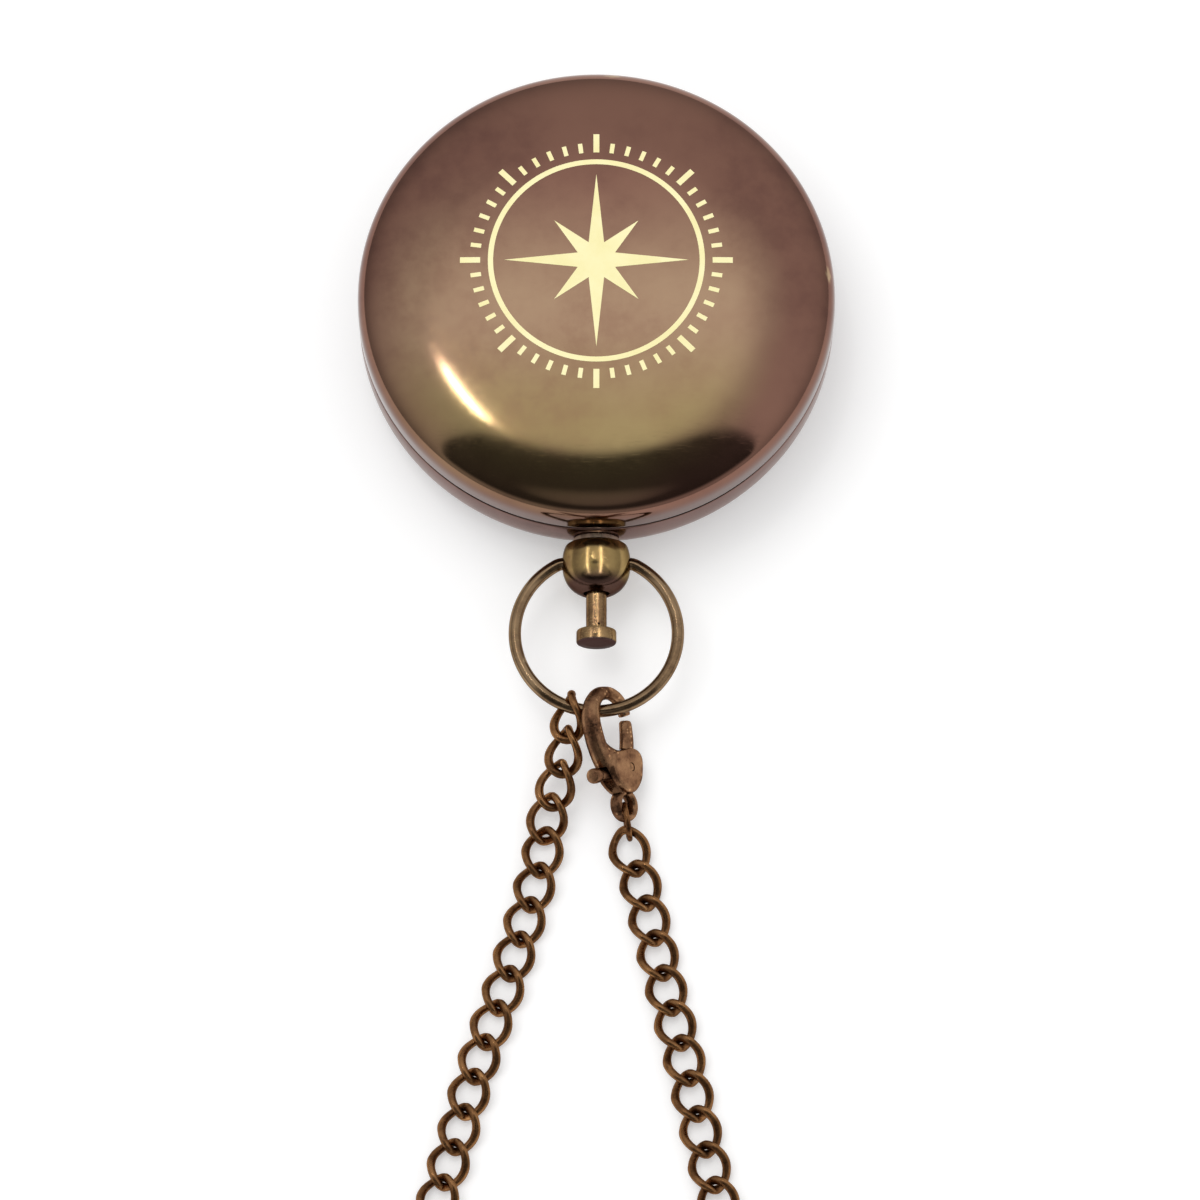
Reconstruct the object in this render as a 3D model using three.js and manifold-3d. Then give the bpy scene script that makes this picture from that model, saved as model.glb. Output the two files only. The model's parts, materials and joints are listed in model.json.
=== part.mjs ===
// Pocket sundial compass: a round hinged brass case with a push-button pendant, a bow ring, a lobster
// claw and a curb chain. The case lies on its back, lid closed, with the pendant towards -Y.
// Millimetres, +Z up, origin at the centre of the case's flat underside.
import * as THREE from 'three';
import { mergeVertices } from 'three/addons/utils/BufferGeometryUtils.js';
import Module from 'manifold-3d';

const wasm = await Module();
wasm.setup();

// Driving dimensions of the case
const caseRadius = 25;
const baseHeight = 8.4;
const lidHeight = 6;
const sheetWall = 0.7;
const baseCorner = 5.2;
const lidShoulder = 5;
const lidCrown = 0.5;
const seamGap = 0.3;

// Clearances: between neighbours, between a pin and its bore, and under a piece that is seated.
// Joined solids run into one another by the lap
const fit = 0.3;
const snug = 0.15;
const seat = 0.2;
const lap = 0.1;

// Driving dimensions of the lid hinge
const hingeInset = 0.7;
const hingePinRadius = 0.35;
const knuckleWall = 0.45;
const lidKnuckleLength = 3.8;
const leafSheet = 0.6;
const lidLeafRise = 3.1;
const baseLeafDrop = 3.8;
const swingMargin = 0.1;

// Driving dimensions of the lid's inner band and of the springs in the case
const bandSheet = 0.6;
const bandReach = 1;
const bandRise = 1.6;
const springSheet = 0.4;
const springHeight = 2.4;
const catchHalfSpan = 13;
const liftHalfSpan = 9;
const catchHalfWidth = 1.2;
const catchSheet = 0.45;
const noseDrop = 0.4;
const noseHeight = 0.6;
const fingerHalfWidth = 1;
const fingerRise = 0.8;
const springShare = 0.3;

// Driving dimensions of the compass and the sundial
const cardMargin = 0.43;
const cardSheet = 0.4;
const capsuleWall = 0.8;
const capsuleHeight = 4.4;
const glassInset = 0.8;
const glassThickness = 0.8;
const hourRingWidth = 6.7;
const hourRingSheet = 0.5;
const needleEndGap = 2.9;
const needleWidth = 3;
const needleSheet = 0.3;
const needleHang = 0.6;
const postRadius = 0.5;
const postHeadroom = 1.1;
const postFootSheet = 0.5;
const hubWall = 0.7;
const hubRise = 1.05;
const lugInset = 2;
const lugHalfWidth = 1;
const lugSheet = 1;
const lugCrown = 0.5;
const gnomonHeight = 17;
const gnomonLatitude = 40;
const gnomonSheet = 0.5;
const gnomonPinRadius = 0.35;
const gnomonToeGap = 2.5;
const gnomonFoot = 4.2;

// Driving dimensions of the pendant, the push button and the bow ring
const pendantDrop = 3.4;
const ballRadius = 3.56;
const ballStandOff = 2.66;
const neckWall = 0.75;
const collarStep = 0.35;
const collarLength = 0.45;
const stemRadius = 1.1;
const stemPlay = 0.25;
const capRadius = 2.08;
const capLength = 1.4;
const capStandOff = 3.75;
const capEdge = 0.25;
const capSocket = 0.65;
const bowRadius = 8.45;
const bowWireRadius = 0.65;
const bowPlay = 0.25;
const bowShoulder = 0.23;
const bowStubDepth = 1.35;

// Driving dimensions of the lobster claw and its jump ring
const clawSheet = 1.3;
const cheekSheet = 2.6;
const clawHalfWidth = 2.8;
const clawLength = 10.1;
const clawRoll = 50;
const clawPitch = 14;
const clawYaw = 10.5;
const hookX = 0.9;
const hookLift = 0.1;
const hookArm = 1.7;
const hookCrown = 1.15;
const clawSeat = 1.2;
const tailX = 0.3;
const tailSheet = 0.8;
const tailHoleRadius = 1.1;
const tailWall = 0.6;
const triggerSheet = 1.1;
const gateSheet = 1;
const knobRadius = 0.78;
const rivetRadius = 0.4;
const jumpRingRadius = 1.8;
const jumpYaw = 10;
const jumpLift = 0.3;
const jumpRise = 0.15;
const jumpWireRadius = 0.28;
const jumpDrop = 0.92;
const jumpTilt = 0.42;
const jumpSide = 0.07;

// Driving dimensions of the curb chain
const chainWire = 0.78;
const linkLength = 5.53;
const linkWidth = 4.3;
const linkTwist = -45;
const linkPlay = 0.185;
const bunchedPlay = 0.39;
const bunchedLinks = 4;
const runPlay = 0.32;
const drawnLap = 0.08;
const floorGap = 0.05;
const leftLinks = 15;
const rightLinks = 11;
const loopRadius = 18;
const loopRuns = 5;

// Facets
const caseSides = 48;
const dialSides = 36;
const smallSides = 16;
const pinSides = 10;

// Places worked out from the sizes above
const seamZ = baseHeight;
const baseRimZ = seamZ - seamGap / 2;
const lidRimZ = seamZ + seamGap / 2;
const lidTopZ = seamZ + lidHeight;
const shoulderZ = lidTopZ - lidCrown - lidShoulder;
const hingeY = caseRadius - hingeInset;
const knuckleRadius = hingePinRadius + snug + knuckleWall;
const notchHalf = Math.sqrt(caseRadius ** 2 - (hingeY + swingMargin) ** 2);
const hingeHalf = notchHalf - fit;
const notchReach = knuckleRadius + fit;
const pendantHeight = seamZ - pendantDrop;
const ballY = -(caseRadius + ballStandOff);
const collarY = -(caseRadius + snug + collarLength);
const capOuterY = ballY - ballRadius - capStandOff - capLength;
const stemBore = stemRadius + stemPlay;
const neckRadius = stemBore + neckWall;
const cardZ = sheetWall + seat;
const capsuleZ = cardZ + cardSheet + seat;
const glassZ = capsuleZ + capsuleHeight + seat;
const hourRingZ = glassZ + glassThickness + seat;
const gnomonZ = hourRingZ + hourRingSheet + fit + gnomonSheet / 2 + seat;
const bowEar = ballRadius + bowShoulder;
const bowDrop = Math.sqrt(bowRadius ** 2 - bowEar ** 2);
const bowCentreY = ballY - bowDrop;
const bowLowY = bowCentreY - bowRadius;

// The radius that is free inside the base's rounded corner, at a height above its floor
const cornerRoom = (height) =>
  caseRadius - baseCorner + Math.sqrt((baseCorner - sheetWall) ** 2 - Math.max(baseCorner - height, 0) ** 2);

// The spring's finger stands nearest to the dial, so the dial's width follows from it
const fingerOuter = hingeY - knuckleRadius - fit * 2;
const hourRingOuter = fingerOuter - springSheet - snug;
const hourRingInner = hourRingOuter - hourRingWidth;
const glassRadius = hourRingOuter - glassInset;
const cardRadius = Math.min(cornerRoom(cardZ) - cardMargin, glassRadius);
const lugReach = hourRingInner + lugInset;

// Plated finishes
const finish = (name, color, roughness, metalness, extra = {}) =>
  new THREE.MeshStandardMaterial({ name, color, roughness, metalness, ...extra });
const antiqueBrass = finish('antique_brass', 0x7d6a52, 0.42, 0.9);
const brightBrass = finish('polished_brass', 0xb79a5b, 0.3, 0.95);
const copperBrown = finish('antique_copper', 0x6e4b2d, 0.4, 0.9);
const steel = finish('spring_steel', 0x8f9296, 0.35, 0.9);
const dialWhite = finish('dial_paper', 0xe9e2cf, 0.7, 0);
const needleBlue = finish('blued_steel', 0x27406e, 0.3, 0.8);
const glass = finish('glass', 0xf4f8f8, 0.05, 0, { transparent: true, opacity: 0.3 });

// A closed mesh with merged corners, no empty triangles and its faces outwards
function weld(geometry) {
  const bare = geometry.clone();
  bare.deleteAttribute('normal');
  bare.deleteAttribute('uv');
  const merged = mergeVertices(bare, 1e-4);
  const at = merged.attributes.position;
  const kept = [];
  let volume = 0;
  const [a, b, c] = [new THREE.Vector3(), new THREE.Vector3(), new THREE.Vector3()];
  for (let i = 0; i < merged.index.count; i += 3) {
    const [u, v, w] = [merged.index.getX(i), merged.index.getX(i + 1), merged.index.getX(i + 2)];
    if (u === v || v === w || w === u) continue;
    kept.push([u, v, w]);
    a.fromBufferAttribute(at, u);
    b.fromBufferAttribute(at, v);
    c.fromBufferAttribute(at, w);
    volume += a.dot(b.cross(c));
  }
  merged.setIndex(kept.flatMap(([u, v, w]) => (volume < 0 ? [u, w, v] : [u, v, w])));
  return merged;
}

// A solid for cutting and joining, and a geometry made from one
function solid(geometry) {
  const closed = weld(geometry);
  return new wasm.Manifold(new wasm.Mesh({
    numProp: 3,
    vertProperties: Float32Array.from(closed.attributes.position.array),
    triVerts: Uint32Array.from(closed.index.array),
  }));
}

function shaped(manifold) {
  const mesh = manifold.getMesh();
  const geometry = new THREE.BufferGeometry();
  geometry.setAttribute('position', new THREE.BufferAttribute(mesh.vertProperties, 3));
  geometry.setIndex(new THREE.BufferAttribute(mesh.triVerts, 1));
  return geometry;
}

function piece(name, geometry, material) {
  const closed = geometry.isBufferGeometry ? geometry : shaped(geometry);
  closed.computeVertexNormals();
  const mesh = new THREE.Mesh(closed, material);
  mesh.name = name;
  return mesh;
}

// A profile of [radius, height] turned round Z
function turned(profile, sides) {
  const outline = profile.map(([radius, height]) => new THREE.Vector2(Math.max(radius, 0), height));
  return new THREE.LatheGeometry(outline, sides).rotateX(Math.PI / 2);
}

// The same, turned round the Y axis of the pendant: heights run outwards, towards -Y
function turnedOut(profile, sides) {
  return turned(profile, sides).rotateX(Math.PI / 2).translate(0, 0, pendantHeight);
}

const ring = (inner, outer, low, high) =>
  [[inner, low], [outer, low], [outer, high], [inner, high], [inner, low]];

const disc = (outer, low, high) => [[0, low], [outer, low], [outer, high], [0, high]];

function block(x0, x1, y0, y1, z0, z1) {
  return solid(new THREE.BoxGeometry(x1 - x0, y1 - y0, z1 - z0)
    .translate((x0 + x1) / 2, (y0 + y1) / 2, (z0 + z1) / 2));
}

// Rods along X and along Y
function rodX(radius, x0, x1, y, z, sides = smallSides) {
  return solid(new THREE.CylinderGeometry(radius, radius, x1 - x0, sides)
    .rotateZ(Math.PI / 2).translate((x0 + x1) / 2, y, z));
}

function rodY(radius, y0, y1, x, z, sides = smallSides) {
  return solid(new THREE.CylinderGeometry(radius, radius, y1 - y0, sides).translate(x, (y0 + y1) / 2, z));
}

function arc(centreR, centreZ, radius, from, to, steps) {
  return Array.from({ length: steps + 1 }, (_, i) => {
    const angle = THREE.MathUtils.degToRad(from + ((to - from) * i) / steps);
    return [centreR + radius * Math.cos(angle), centreZ + radius * Math.sin(angle)];
  });
}

function round(shape, x, y, radius, hole = false) {
  const path = hole ? new THREE.Path() : shape;
  path.absarc(x, y, radius, 0, 2 * Math.PI, hole);
  if (hole) shape.holes.push(path);
}

// A round wire along an open curve
function wire(curve, radius, steps, sides) {
  const section = new THREE.Shape();
  for (let i = 0; i < sides; i += 1) {
    const angle = (2 * Math.PI * i) / sides;
    const corner = [radius * Math.cos(angle), radius * Math.sin(angle)];
    if (i === 0) section.moveTo(...corner);
    else section.lineTo(...corner);
  }
  section.closePath();
  return new THREE.ExtrudeGeometry(section, { steps, extrudePath: curve, bevelEnabled: false });
}

// Case shells: the base and the lid are pressed sheet of one thickness
function baseOutline(inset, rim) {
  const centre = caseRadius - baseCorner;
  return [[0, inset], ...arc(centre, baseCorner, baseCorner - inset, -90, 0, 7), [caseRadius - inset, rim]];
}

function lidOutline(inset, rim) {
  const centre = caseRadius - lidShoulder;
  const shoulder = arc(centre, shoulderZ, lidShoulder - inset, 0, 90, 7);
  const crown = [0.66, 0.33, 0].map((share) => [
    centre * share,
    lidTopZ - inset - lidCrown * share ** 2,
  ]);
  return [[caseRadius - inset, rim], ...shoulder, ...crown];
}

function hingeNotch() {
  const [low, high] = [seamZ - notchReach, seamZ + notchReach];
  return block(-notchHalf, notchHalf, hingeY - baseCorner, caseRadius + lap, low, high);
}

function baseCase() {
  const shell = [...baseOutline(0, baseRimZ), ...baseOutline(sheetWall, baseRimZ).reverse()];
  const pendantHole = rodY(neckRadius + snug, -caseRadius - lap, -hourRingInner, 0, pendantHeight, 20);
  return solid(turned(shell, caseSides)).subtract(hingeNotch()).subtract(pendantHole);
}

function lidShell() {
  const outside = lidOutline(0, lidRimZ);
  const shell = [...outside, ...lidOutline(sheetWall, lidRimZ).reverse(), outside[0]];
  return solid(turned(shell, caseSides)).subtract(hingeNotch());
}

const bandOuter = caseRadius - sheetWall - fit;
const bandInner = bandOuter - bandSheet;
const bandLowZ = seamZ - bandReach;
const noseZ = seamZ - noseDrop;

// The band inside the lid centres it in the base, and has the window that the catch hooks into
function lidBand() {
  const body = solid(turned(ring(bandInner, bandOuter, bandLowZ, seamZ + bandRise), caseSides));
  const hingeGap = block(-notchHalf, notchHalf, 0, caseRadius, baseRimZ - bandReach * 2, lidTopZ);
  const windowHalf = catchHalfWidth + fit;
  const window = block(
    -windowHalf, windowHalf, -caseRadius, -hourRingInner,
    noseZ - snug, noseZ + noseHeight + fit,
  );
  return body.subtract(hingeGap).subtract(window);
}

const knuckle = (x0, x1) => rodX(knuckleRadius, x0, x1, hingeY, seamZ);
const knuckleBore = () => rodX(hingePinRadius + snug, -notchHalf, notchHalf, hingeY, seamZ);

// A curved plate that lies against the inside of a shell, between two heights
function lining(outline, half, low, high) {
  const near = outline(sheetWall + snug);
  const far = outline(sheetWall + snug + leafSheet);
  return solid(turned([...near, ...far.reverse(), near[0]], caseSides))
    .intersect(block(-half, half, 0, caseRadius, low, high));
}

function lidLeaf() {
  const half = lidKnuckleLength / 2;
  const plateLow = seamZ + notchReach + fit;
  const openOutline = (inset) => lidOutline(inset, lidRimZ).filter(([radius]) => radius > hourRingInner);
  const plate = lining(openOutline, hingeHalf - fit, plateLow, seamZ + lidLeafRise);
  const web = block(-half, half, hingeY - knuckleRadius - fit, hingeY - seat, seamZ, plateLow + leafSheet);
  const inside = solid(turned([[0, 0], ...lidOutline(sheetWall + snug, 0)], caseSides));
  const bore = knuckleBore();
  return plate.add(web.intersect(inside)).add(knuckle(-half, half)).subtract(bore);
}

function baseLeaf() {
  const inner = lidKnuckleLength / 2 + fit;
  const webOuter = Math.sqrt((caseRadius - sheetWall - snug) ** 2 - hingeHalf ** 2);
  const plateHigh = seamZ - notchReach - snug;
  const openOutline = (inset) => baseOutline(inset, baseRimZ).filter(([radius]) => radius > hourRingInner);
  const plate = lining(openOutline, hingeHalf, seamZ - baseLeafDrop, plateHigh);
  const leaf = [-1, 1].reduce((made, side) => {
    const [x0, x1] = side < 0 ? [-hingeHalf, -inner] : [inner, hingeHalf];
    const web = block(x0, x1, hingeY - knuckleRadius - fit, webOuter, plateHigh - lap, seamZ);
    return made.add(web).add(knuckle(x0, x1));
  }, plate);
  return leaf.subtract(knuckleBore());
}

const hingePin = () => rodX(hingePinRadius, -hingeHalf, hingeHalf, hingeY, seamZ, pinSides);

// Springs: curved leaves that lie against the inside of the base
const springLowZ = pendantHeight - springHeight * springShare;
const springTopZ = springLowZ + springHeight;

function leafSpring(outer, half, side) {
  const band = solid(turned(ring(outer - springSheet, outer, springLowZ, springTopZ), caseSides));
  const y = side < 0 ? [-caseRadius, 0] : [0, caseRadius];
  return band.intersect(block(-half, half, y[0], y[1], 0, baseHeight));
}

const catchOuter = caseRadius - sheetWall - fit;

// The catch stands up inside the lid's band and its nose hooks outwards into the band's window
function catchSpring() {
  const armOuter = bandInner - fit;
  const armInner = armOuter - catchSheet;
  const top = noseZ + noseHeight;
  const stepLow = springTopZ - noseHeight;
  const step = block(-catchHalfWidth, catchHalfWidth, -catchOuter + lap, -armInner, stepLow, springTopZ);
  const arm = block(-catchHalfWidth, catchHalfWidth, -armOuter, -armInner, stepLow, top);
  const nose = block(-catchHalfWidth, catchHalfWidth, -bandOuter + lap, -armInner, noseZ, top);
  return leafSpring(catchOuter, catchHalfSpan, -1).add(step).add(arm).add(nose);
}

// The lift spring leans on the base leaf, and its finger pushes on the web of the lid leaf
function liftSpring() {
  const outer = caseRadius - sheetWall - snug - leafSheet - fit;
  const half = fingerHalfWidth;
  const [footLow, footTop] = [springTopZ - fingerRise * 1.75, springTopZ - fingerRise * 0.75];
  const finger = block(-half, half, fingerOuter - springSheet, fingerOuter, footLow, seamZ + fingerRise);
  const foot = block(-half, half, fingerOuter - springSheet, outer - lap, footLow, footTop);
  return leafSpring(outer, liftHalfSpan, 1).add(finger).add(foot);
}

// Compass
const compassCard = () => turned(disc(cardRadius, cardZ, cardZ + cardSheet), dialSides);

const capsuleRing = () =>
  turned(ring(cardRadius - capsuleWall, cardRadius, capsuleZ, capsuleZ + capsuleHeight), dialSides);

const crystal = () => turned(disc(glassRadius, glassZ, glassZ + glassThickness), dialSides);

const postTipZ = capsuleZ + capsuleHeight - postHeadroom;

function pivotPost() {
  const foot = postRadius * 3;
  const footTop = capsuleZ + postFootSheet;
  return turned([
    [0, capsuleZ], [foot, capsuleZ], [foot, footTop], [postRadius, footTop + seat],
    [postRadius, postTipZ - postRadius], [0, postTipZ],
  ], 12);
}

const needleZ = postTipZ - needleHang;
const needleBore = postRadius + snug;
const hubRadius = needleBore + hubWall;

function needle() {
  const reach = cardRadius - capsuleWall - needleEndGap;
  const shape = new THREE.Shape();
  shape.moveTo(0, -reach);
  shape.lineTo(needleWidth / 2, 0);
  shape.lineTo(0, reach);
  shape.lineTo(-needleWidth / 2, 0);
  shape.closePath();
  round(shape, 0, 0, needleBore, true);
  return new THREE.ExtrudeGeometry(shape, { depth: needleSheet, bevelEnabled: false, curveSegments: 8 })
    .translate(0, 0, needleZ);
}

// The needle's hub has a hollow that sits on the post's point
function needleCap() {
  const low = needleZ + needleSheet + lap;
  return turned([
    [0, postTipZ + snug], [needleBore, low], [hubRadius, low], [hubRadius * 0.8, low + hubRise * 0.57],
    [hubRadius * 0.4, low + hubRise * 0.9], [0, low + hubRise],
  ], 12);
}

// Sundial
const hourRingTopZ = hourRingZ + hourRingSheet;
const lugTopZ = gnomonZ + gnomonPinRadius + snug + lugCrown;

function hourRing() {
  const plate = solid(turned(ring(hourRingInner, hourRingOuter, hourRingZ, hourRingTopZ), dialSides));
  const bore = rodY(gnomonPinRadius + snug, -caseRadius, caseRadius, 0, gnomonZ, pinSides);
  return [-1, 1].reduce((made, side) => {
    const [near, far] = [side * lugReach - lugSheet / 2, side * lugReach + lugSheet / 2];
    return made.add(block(-lugHalfWidth, lugHalfWidth, near, far, hourRingTopZ - lap, lugTopZ));
  }, plate).subtract(bore);
}

// The gnomon lies folded to +X and stands up about its spindle, which runs north and south
function gnomon() {
  const run = gnomonHeight / Math.tan(THREE.MathUtils.degToRad(gnomonLatitude));
  const toe = lugReach - lugSheet / 2 - gnomonToeGap;
  const tip = toe - run;
  const shape = new THREE.Shape();
  shape.moveTo(0, toe);
  shape.lineTo(gnomonHeight, tip);
  shape.quadraticCurveTo(gnomonHeight * 0.3, tip - gnomonSheet, 0, tip - gnomonFoot);
  shape.closePath();
  const blank = { depth: gnomonSheet, bevelEnabled: false, curveSegments: 8 };
  const plate = new THREE.ExtrudeGeometry(shape, blank);
  const spindleEnd = lugReach + lugSheet / 2;
  return solid(plate.translate(0, 0, gnomonZ - gnomonSheet / 2))
    .add(rodY(gnomonPinRadius, -spindleEnd, spindleEnd, 0, gnomonZ, pinSides));
}

// Pendant and button, turned round the pendant's own axis
const neckInner = caseRadius - sheetWall;

function pendantNeck() {
  const collarRadius = neckRadius + collarStep;
  const collarSeat = caseRadius + snug;
  return turnedOut([
    [stemBore, neckInner + lap], [neckRadius, neckInner + lap], [neckRadius, collarSeat],
    [collarRadius, collarSeat], [collarRadius, -collarY], [stemBore, -collarY], [stemBore, neckInner + lap],
  ], 20);
}

const bowStubEnd = ballRadius - bowStubDepth;

function pendantBall() {
  const centre = -ballY;
  const near = -collarY + snug;
  const outlet = THREE.MathUtils.radToDeg(Math.acos(stemBore / ballRadius));
  const mouth = THREE.MathUtils.radToDeg(Math.asin((near - centre) / ballRadius));
  const outside = arc(0, centre, ballRadius, outlet, mouth, 13);
  const body = solid(turnedOut([[stemBore, near], ...outside.reverse(), [stemBore, near]], 24));
  return [-1, 1].reduce((made, side) => {
    const [near, far] = [side * (bowStubEnd - fit), side * (ballRadius + lap)];
    const [x0, x1] = [Math.min(near, far), Math.max(near, far)];
    return made.subtract(rodX(bowWireRadius + bowPlay, x0, x1, ballY, pendantHeight, 12));
  }, body);
}

// The stem reaches from inside the cap to the catch spring, just inside the case wall
function pushStem() {
  const stemOuterY = capOuterY + capLength - capSocket + snug;
  return rodY(stemRadius, stemOuterY, -neckInner, 0, pendantHeight, 14);
}

function buttonCap() {
  const outer = -capOuterY;
  const inner = outer - capLength;
  const bore = stemRadius + snug;
  return turnedOut([
    [bore, inner], [capRadius - capEdge, inner], [capRadius, inner + capEdge],
    [capRadius, outer - capEdge], [capRadius - capEdge, outer], [0, outer],
    [0, inner + capSocket], [bore, inner + capSocket], [bore, inner],
  ], 20);
}

// Bow ring: an open wire circle whose two ends turn inwards into the ball
function bowRing() {
  const reach = Math.asin(bowDrop / bowRadius);
  const steps = 30;
  const sweep = Math.PI + 2 * reach;
  const points = [new THREE.Vector3(-bowStubEnd, ballY, pendantHeight)];
  for (let i = 0; i <= steps; i += 1) {
    const angle = Math.PI - reach + (sweep * i) / steps;
    points.push(new THREE.Vector3(
      bowRadius * Math.cos(angle),
      bowCentreY + bowRadius * Math.sin(angle),
      pendantHeight,
    ));
  }
  points.push(new THREE.Vector3(bowStubEnd, ballY, pendantHeight));
  return wire(new THREE.CatmullRomCurve3(points, false, 'centripetal'), bowWireRadius, 44, 8);
}

// Lobster claw, drawn in its own plane: X across, Y up to the hook, Z through the sheet.
// The hook's places follow its top, the body's follow its lower end
const tailY = -clawLength;
const tailRingRadius = tailHoleRadius + tailWall;
const bodyLowY = tailY + tailHoleRadius + lap;
const bodyWaistY = bodyLowY + 3;
const bodyTopY = bodyWaistY + 1.3;
const bodyLowX = tailX + tailWall;
const armOuter = clawHalfWidth + hookArm / 2;
const armInner = clawHalfWidth - hookArm / 2;
const hookOuterY = clawSeat + hookCrown;
const hookTipY = -1;
const clawRight = clawHalfWidth + 0.2;

function clawOutline() {
  const shape = new THREE.Shape();
  shape.moveTo(bodyLowX, bodyLowY);
  shape.quadraticCurveTo(-clawHalfWidth / 2, bodyLowY + 0.6, -clawHalfWidth * 0.8, bodyWaistY);
  shape.quadraticCurveTo(-armOuter, bodyWaistY + 2.4, -armOuter, -hookArm);
  shape.bezierCurveTo(-armOuter, 0.9, -clawHalfWidth * 0.6, hookOuterY, tailX, hookOuterY);
  shape.bezierCurveTo(clawHalfWidth * 0.7, hookOuterY, armOuter, 0.9, armOuter - 0.2, hookTipY);
  shape.lineTo(armOuter - 0.2 - gateSheet, hookTipY);
  shape.bezierCurveTo(armInner, 0.2, clawHalfWidth / 2, clawSeat, tailX, clawSeat);
  shape.bezierCurveTo(-clawHalfWidth * 0.4, clawSeat, -armInner, 0.4, -armInner, -hookArm);
  shape.quadraticCurveTo(-armInner, bodyTopY + 1.3, -clawHalfWidth * 0.2, bodyTopY + 0.3);
  shape.lineTo(clawRight, bodyTopY - 0.2);
  shape.quadraticCurveTo(clawRight + 0.3, bodyLowY + 1.8, bodyLowX, bodyLowY);
  return shape;
}

function clawPlate(shape, sheet) {
  const plate = new THREE.ExtrudeGeometry(shape, { depth: sheet, bevelEnabled: false, curveSegments: 6 });
  return plate.translate(0, 0, -sheet / 2);
}

const pivotX = bodyLowX + 0.2;
const pivotY = bodyWaistY - rivetRadius;

const rivetRod = (radius, length) =>
  new THREE.CylinderGeometry(radius, radius, length, pinSides).rotateX(Math.PI / 2)
    .translate(pivotX, pivotY, 0);
const rivetBore = () => solid(rivetRod(rivetRadius + snug, cheekSheet * 2));

// The body is thick and hollow where the trigger turns, and ends in a loop for the jump ring
function clawBody() {
  const cheeks = new THREE.Shape();
  cheeks.moveTo(bodyLowX, bodyLowY + lap);
  cheeks.quadraticCurveTo(-clawHalfWidth * 0.4, bodyLowY + 0.8, -clawHalfWidth * 0.7, bodyWaistY);
  cheeks.lineTo(-clawHalfWidth * 0.3, bodyTopY);
  cheeks.lineTo(clawRight - 0.2, bodyTopY - 0.4);
  cheeks.quadraticCurveTo(clawRight + 0.1, bodyLowY + 1.8, bodyLowX, bodyLowY + lap);
  const tail = new THREE.Shape();
  round(tail, tailX, tailY, tailRingRadius);
  round(tail, tailX, tailY, tailHoleRadius, true);
  const slotHalf = triggerSheet / 2 + snug;
  const slotLow = bodyLowY + 0.8;
  const slotFar = armOuter * 2;
  const leverSlot = block(-slotFar, slotFar, slotLow, pivotY + rivetRadius, -slotHalf, slotHalf);
  const gateSlot = block(tailX, slotFar, slotLow, bodyTopY + 0.9, -slotHalf, slotHalf);
  return solid(clawPlate(clawOutline(), clawSheet))
    .add(solid(clawPlate(cheeks, cheekSheet)))
    .add(solid(clawPlate(tail, tailSheet)))
    .subtract(leverSlot)
    .subtract(gateSlot)
    .subtract(rivetBore());
}

// The trigger is one lever: a gate that closes the hook and a thumb knob on the other side
function clawTrigger() {
  const gateTipY = hookTipY - fit - lap;
  const gateOuterX = clawHalfWidth + fit;
  const leverX = -clawHalfWidth - knobRadius;
  const gate = new THREE.Shape();
  gate.moveTo(pivotX - 1.3, pivotY - 0.3);
  gate.lineTo(pivotX + 0.2, pivotY + 1.1);
  gate.lineTo(gateOuterX - gateSheet, gateTipY);
  gate.lineTo(gateOuterX, gateTipY);
  gate.quadraticCurveTo(gateOuterX + fit, bodyTopY + 0.5, pivotX + 1.3, pivotY - 0.5);
  gate.lineTo(pivotX, pivotY - 1);
  gate.lineTo(leverX, pivotY - 0.85);
  gate.lineTo(leverX, pivotY + 0.2);
  gate.closePath();
  const knob = new THREE.SphereGeometry(knobRadius, 10, 6).rotateX(Math.PI / 2);
  knob.translate(leverX, pivotY - 0.35, 0);
  return solid(clawPlate(gate, triggerSheet)).add(solid(knob)).subtract(rivetBore());
}

// A short leaf between the gate and the body pushes the gate shut
function clawSpring() {
  const [foot, head] = [pivotX - 0.7, pivotX - 0.1];
  const leaf = new THREE.Shape();
  leaf.moveTo(foot, bodyWaistY + 0.2);
  leaf.lineTo(foot, bodyTopY);
  leaf.lineTo(head - 0.1, bodyTopY + 0.3);
  leaf.lineTo(head, bodyTopY + 0.15);
  leaf.lineTo(foot + 0.23, bodyTopY - 0.15);
  leaf.lineTo(foot + 0.23, bodyWaistY + 0.2);
  leaf.closePath();
  return clawPlate(leaf, triggerSheet * 0.7);
}

const clawRivet = () => rivetRod(rivetRadius, cheekSheet);

// Where the claw hangs on the ring: its plane is rolled, pitched and yawed in the frame of the case
const hookY = bowCentreY - Math.sqrt(bowRadius ** 2 - hookX ** 2);
const [pitch, roll, yaw] = [clawPitch, clawRoll, clawYaw].map(THREE.MathUtils.degToRad);
const clawFrame = new THREE.Matrix4()
  .makeRotationFromEuler(new THREE.Euler(pitch, roll, yaw, 'ZXY'))
  .setPosition(hookX, hookY + hookLift, pendantHeight + hookLift);

// Curb chain: one oval of wire, twisted so that flat links interlock
class CurbLink extends THREE.Curve {
  getPoint(share, target = new THREE.Vector3()) {
    const turn = 2 * Math.PI * share;
    const along = ((linkLength - chainWire) / 2) * Math.cos(turn);
    const across = ((linkWidth - chainWire) / 2) * Math.sin(turn);
    const twist = THREE.MathUtils.degToRad(linkTwist) * Math.cos(turn);
    return target.set(along, across * Math.cos(twist), across * Math.sin(twist));
  }
}

const linkGeometry = () => new THREE.TubeGeometry(new CurbLink(), 12, chainWire / 2, 6, true);
const chainZ = Math.max(...new CurbLink().getPoints(60).map(({ z }) => z)) + chainWire / 2 + floorGap;

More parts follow.
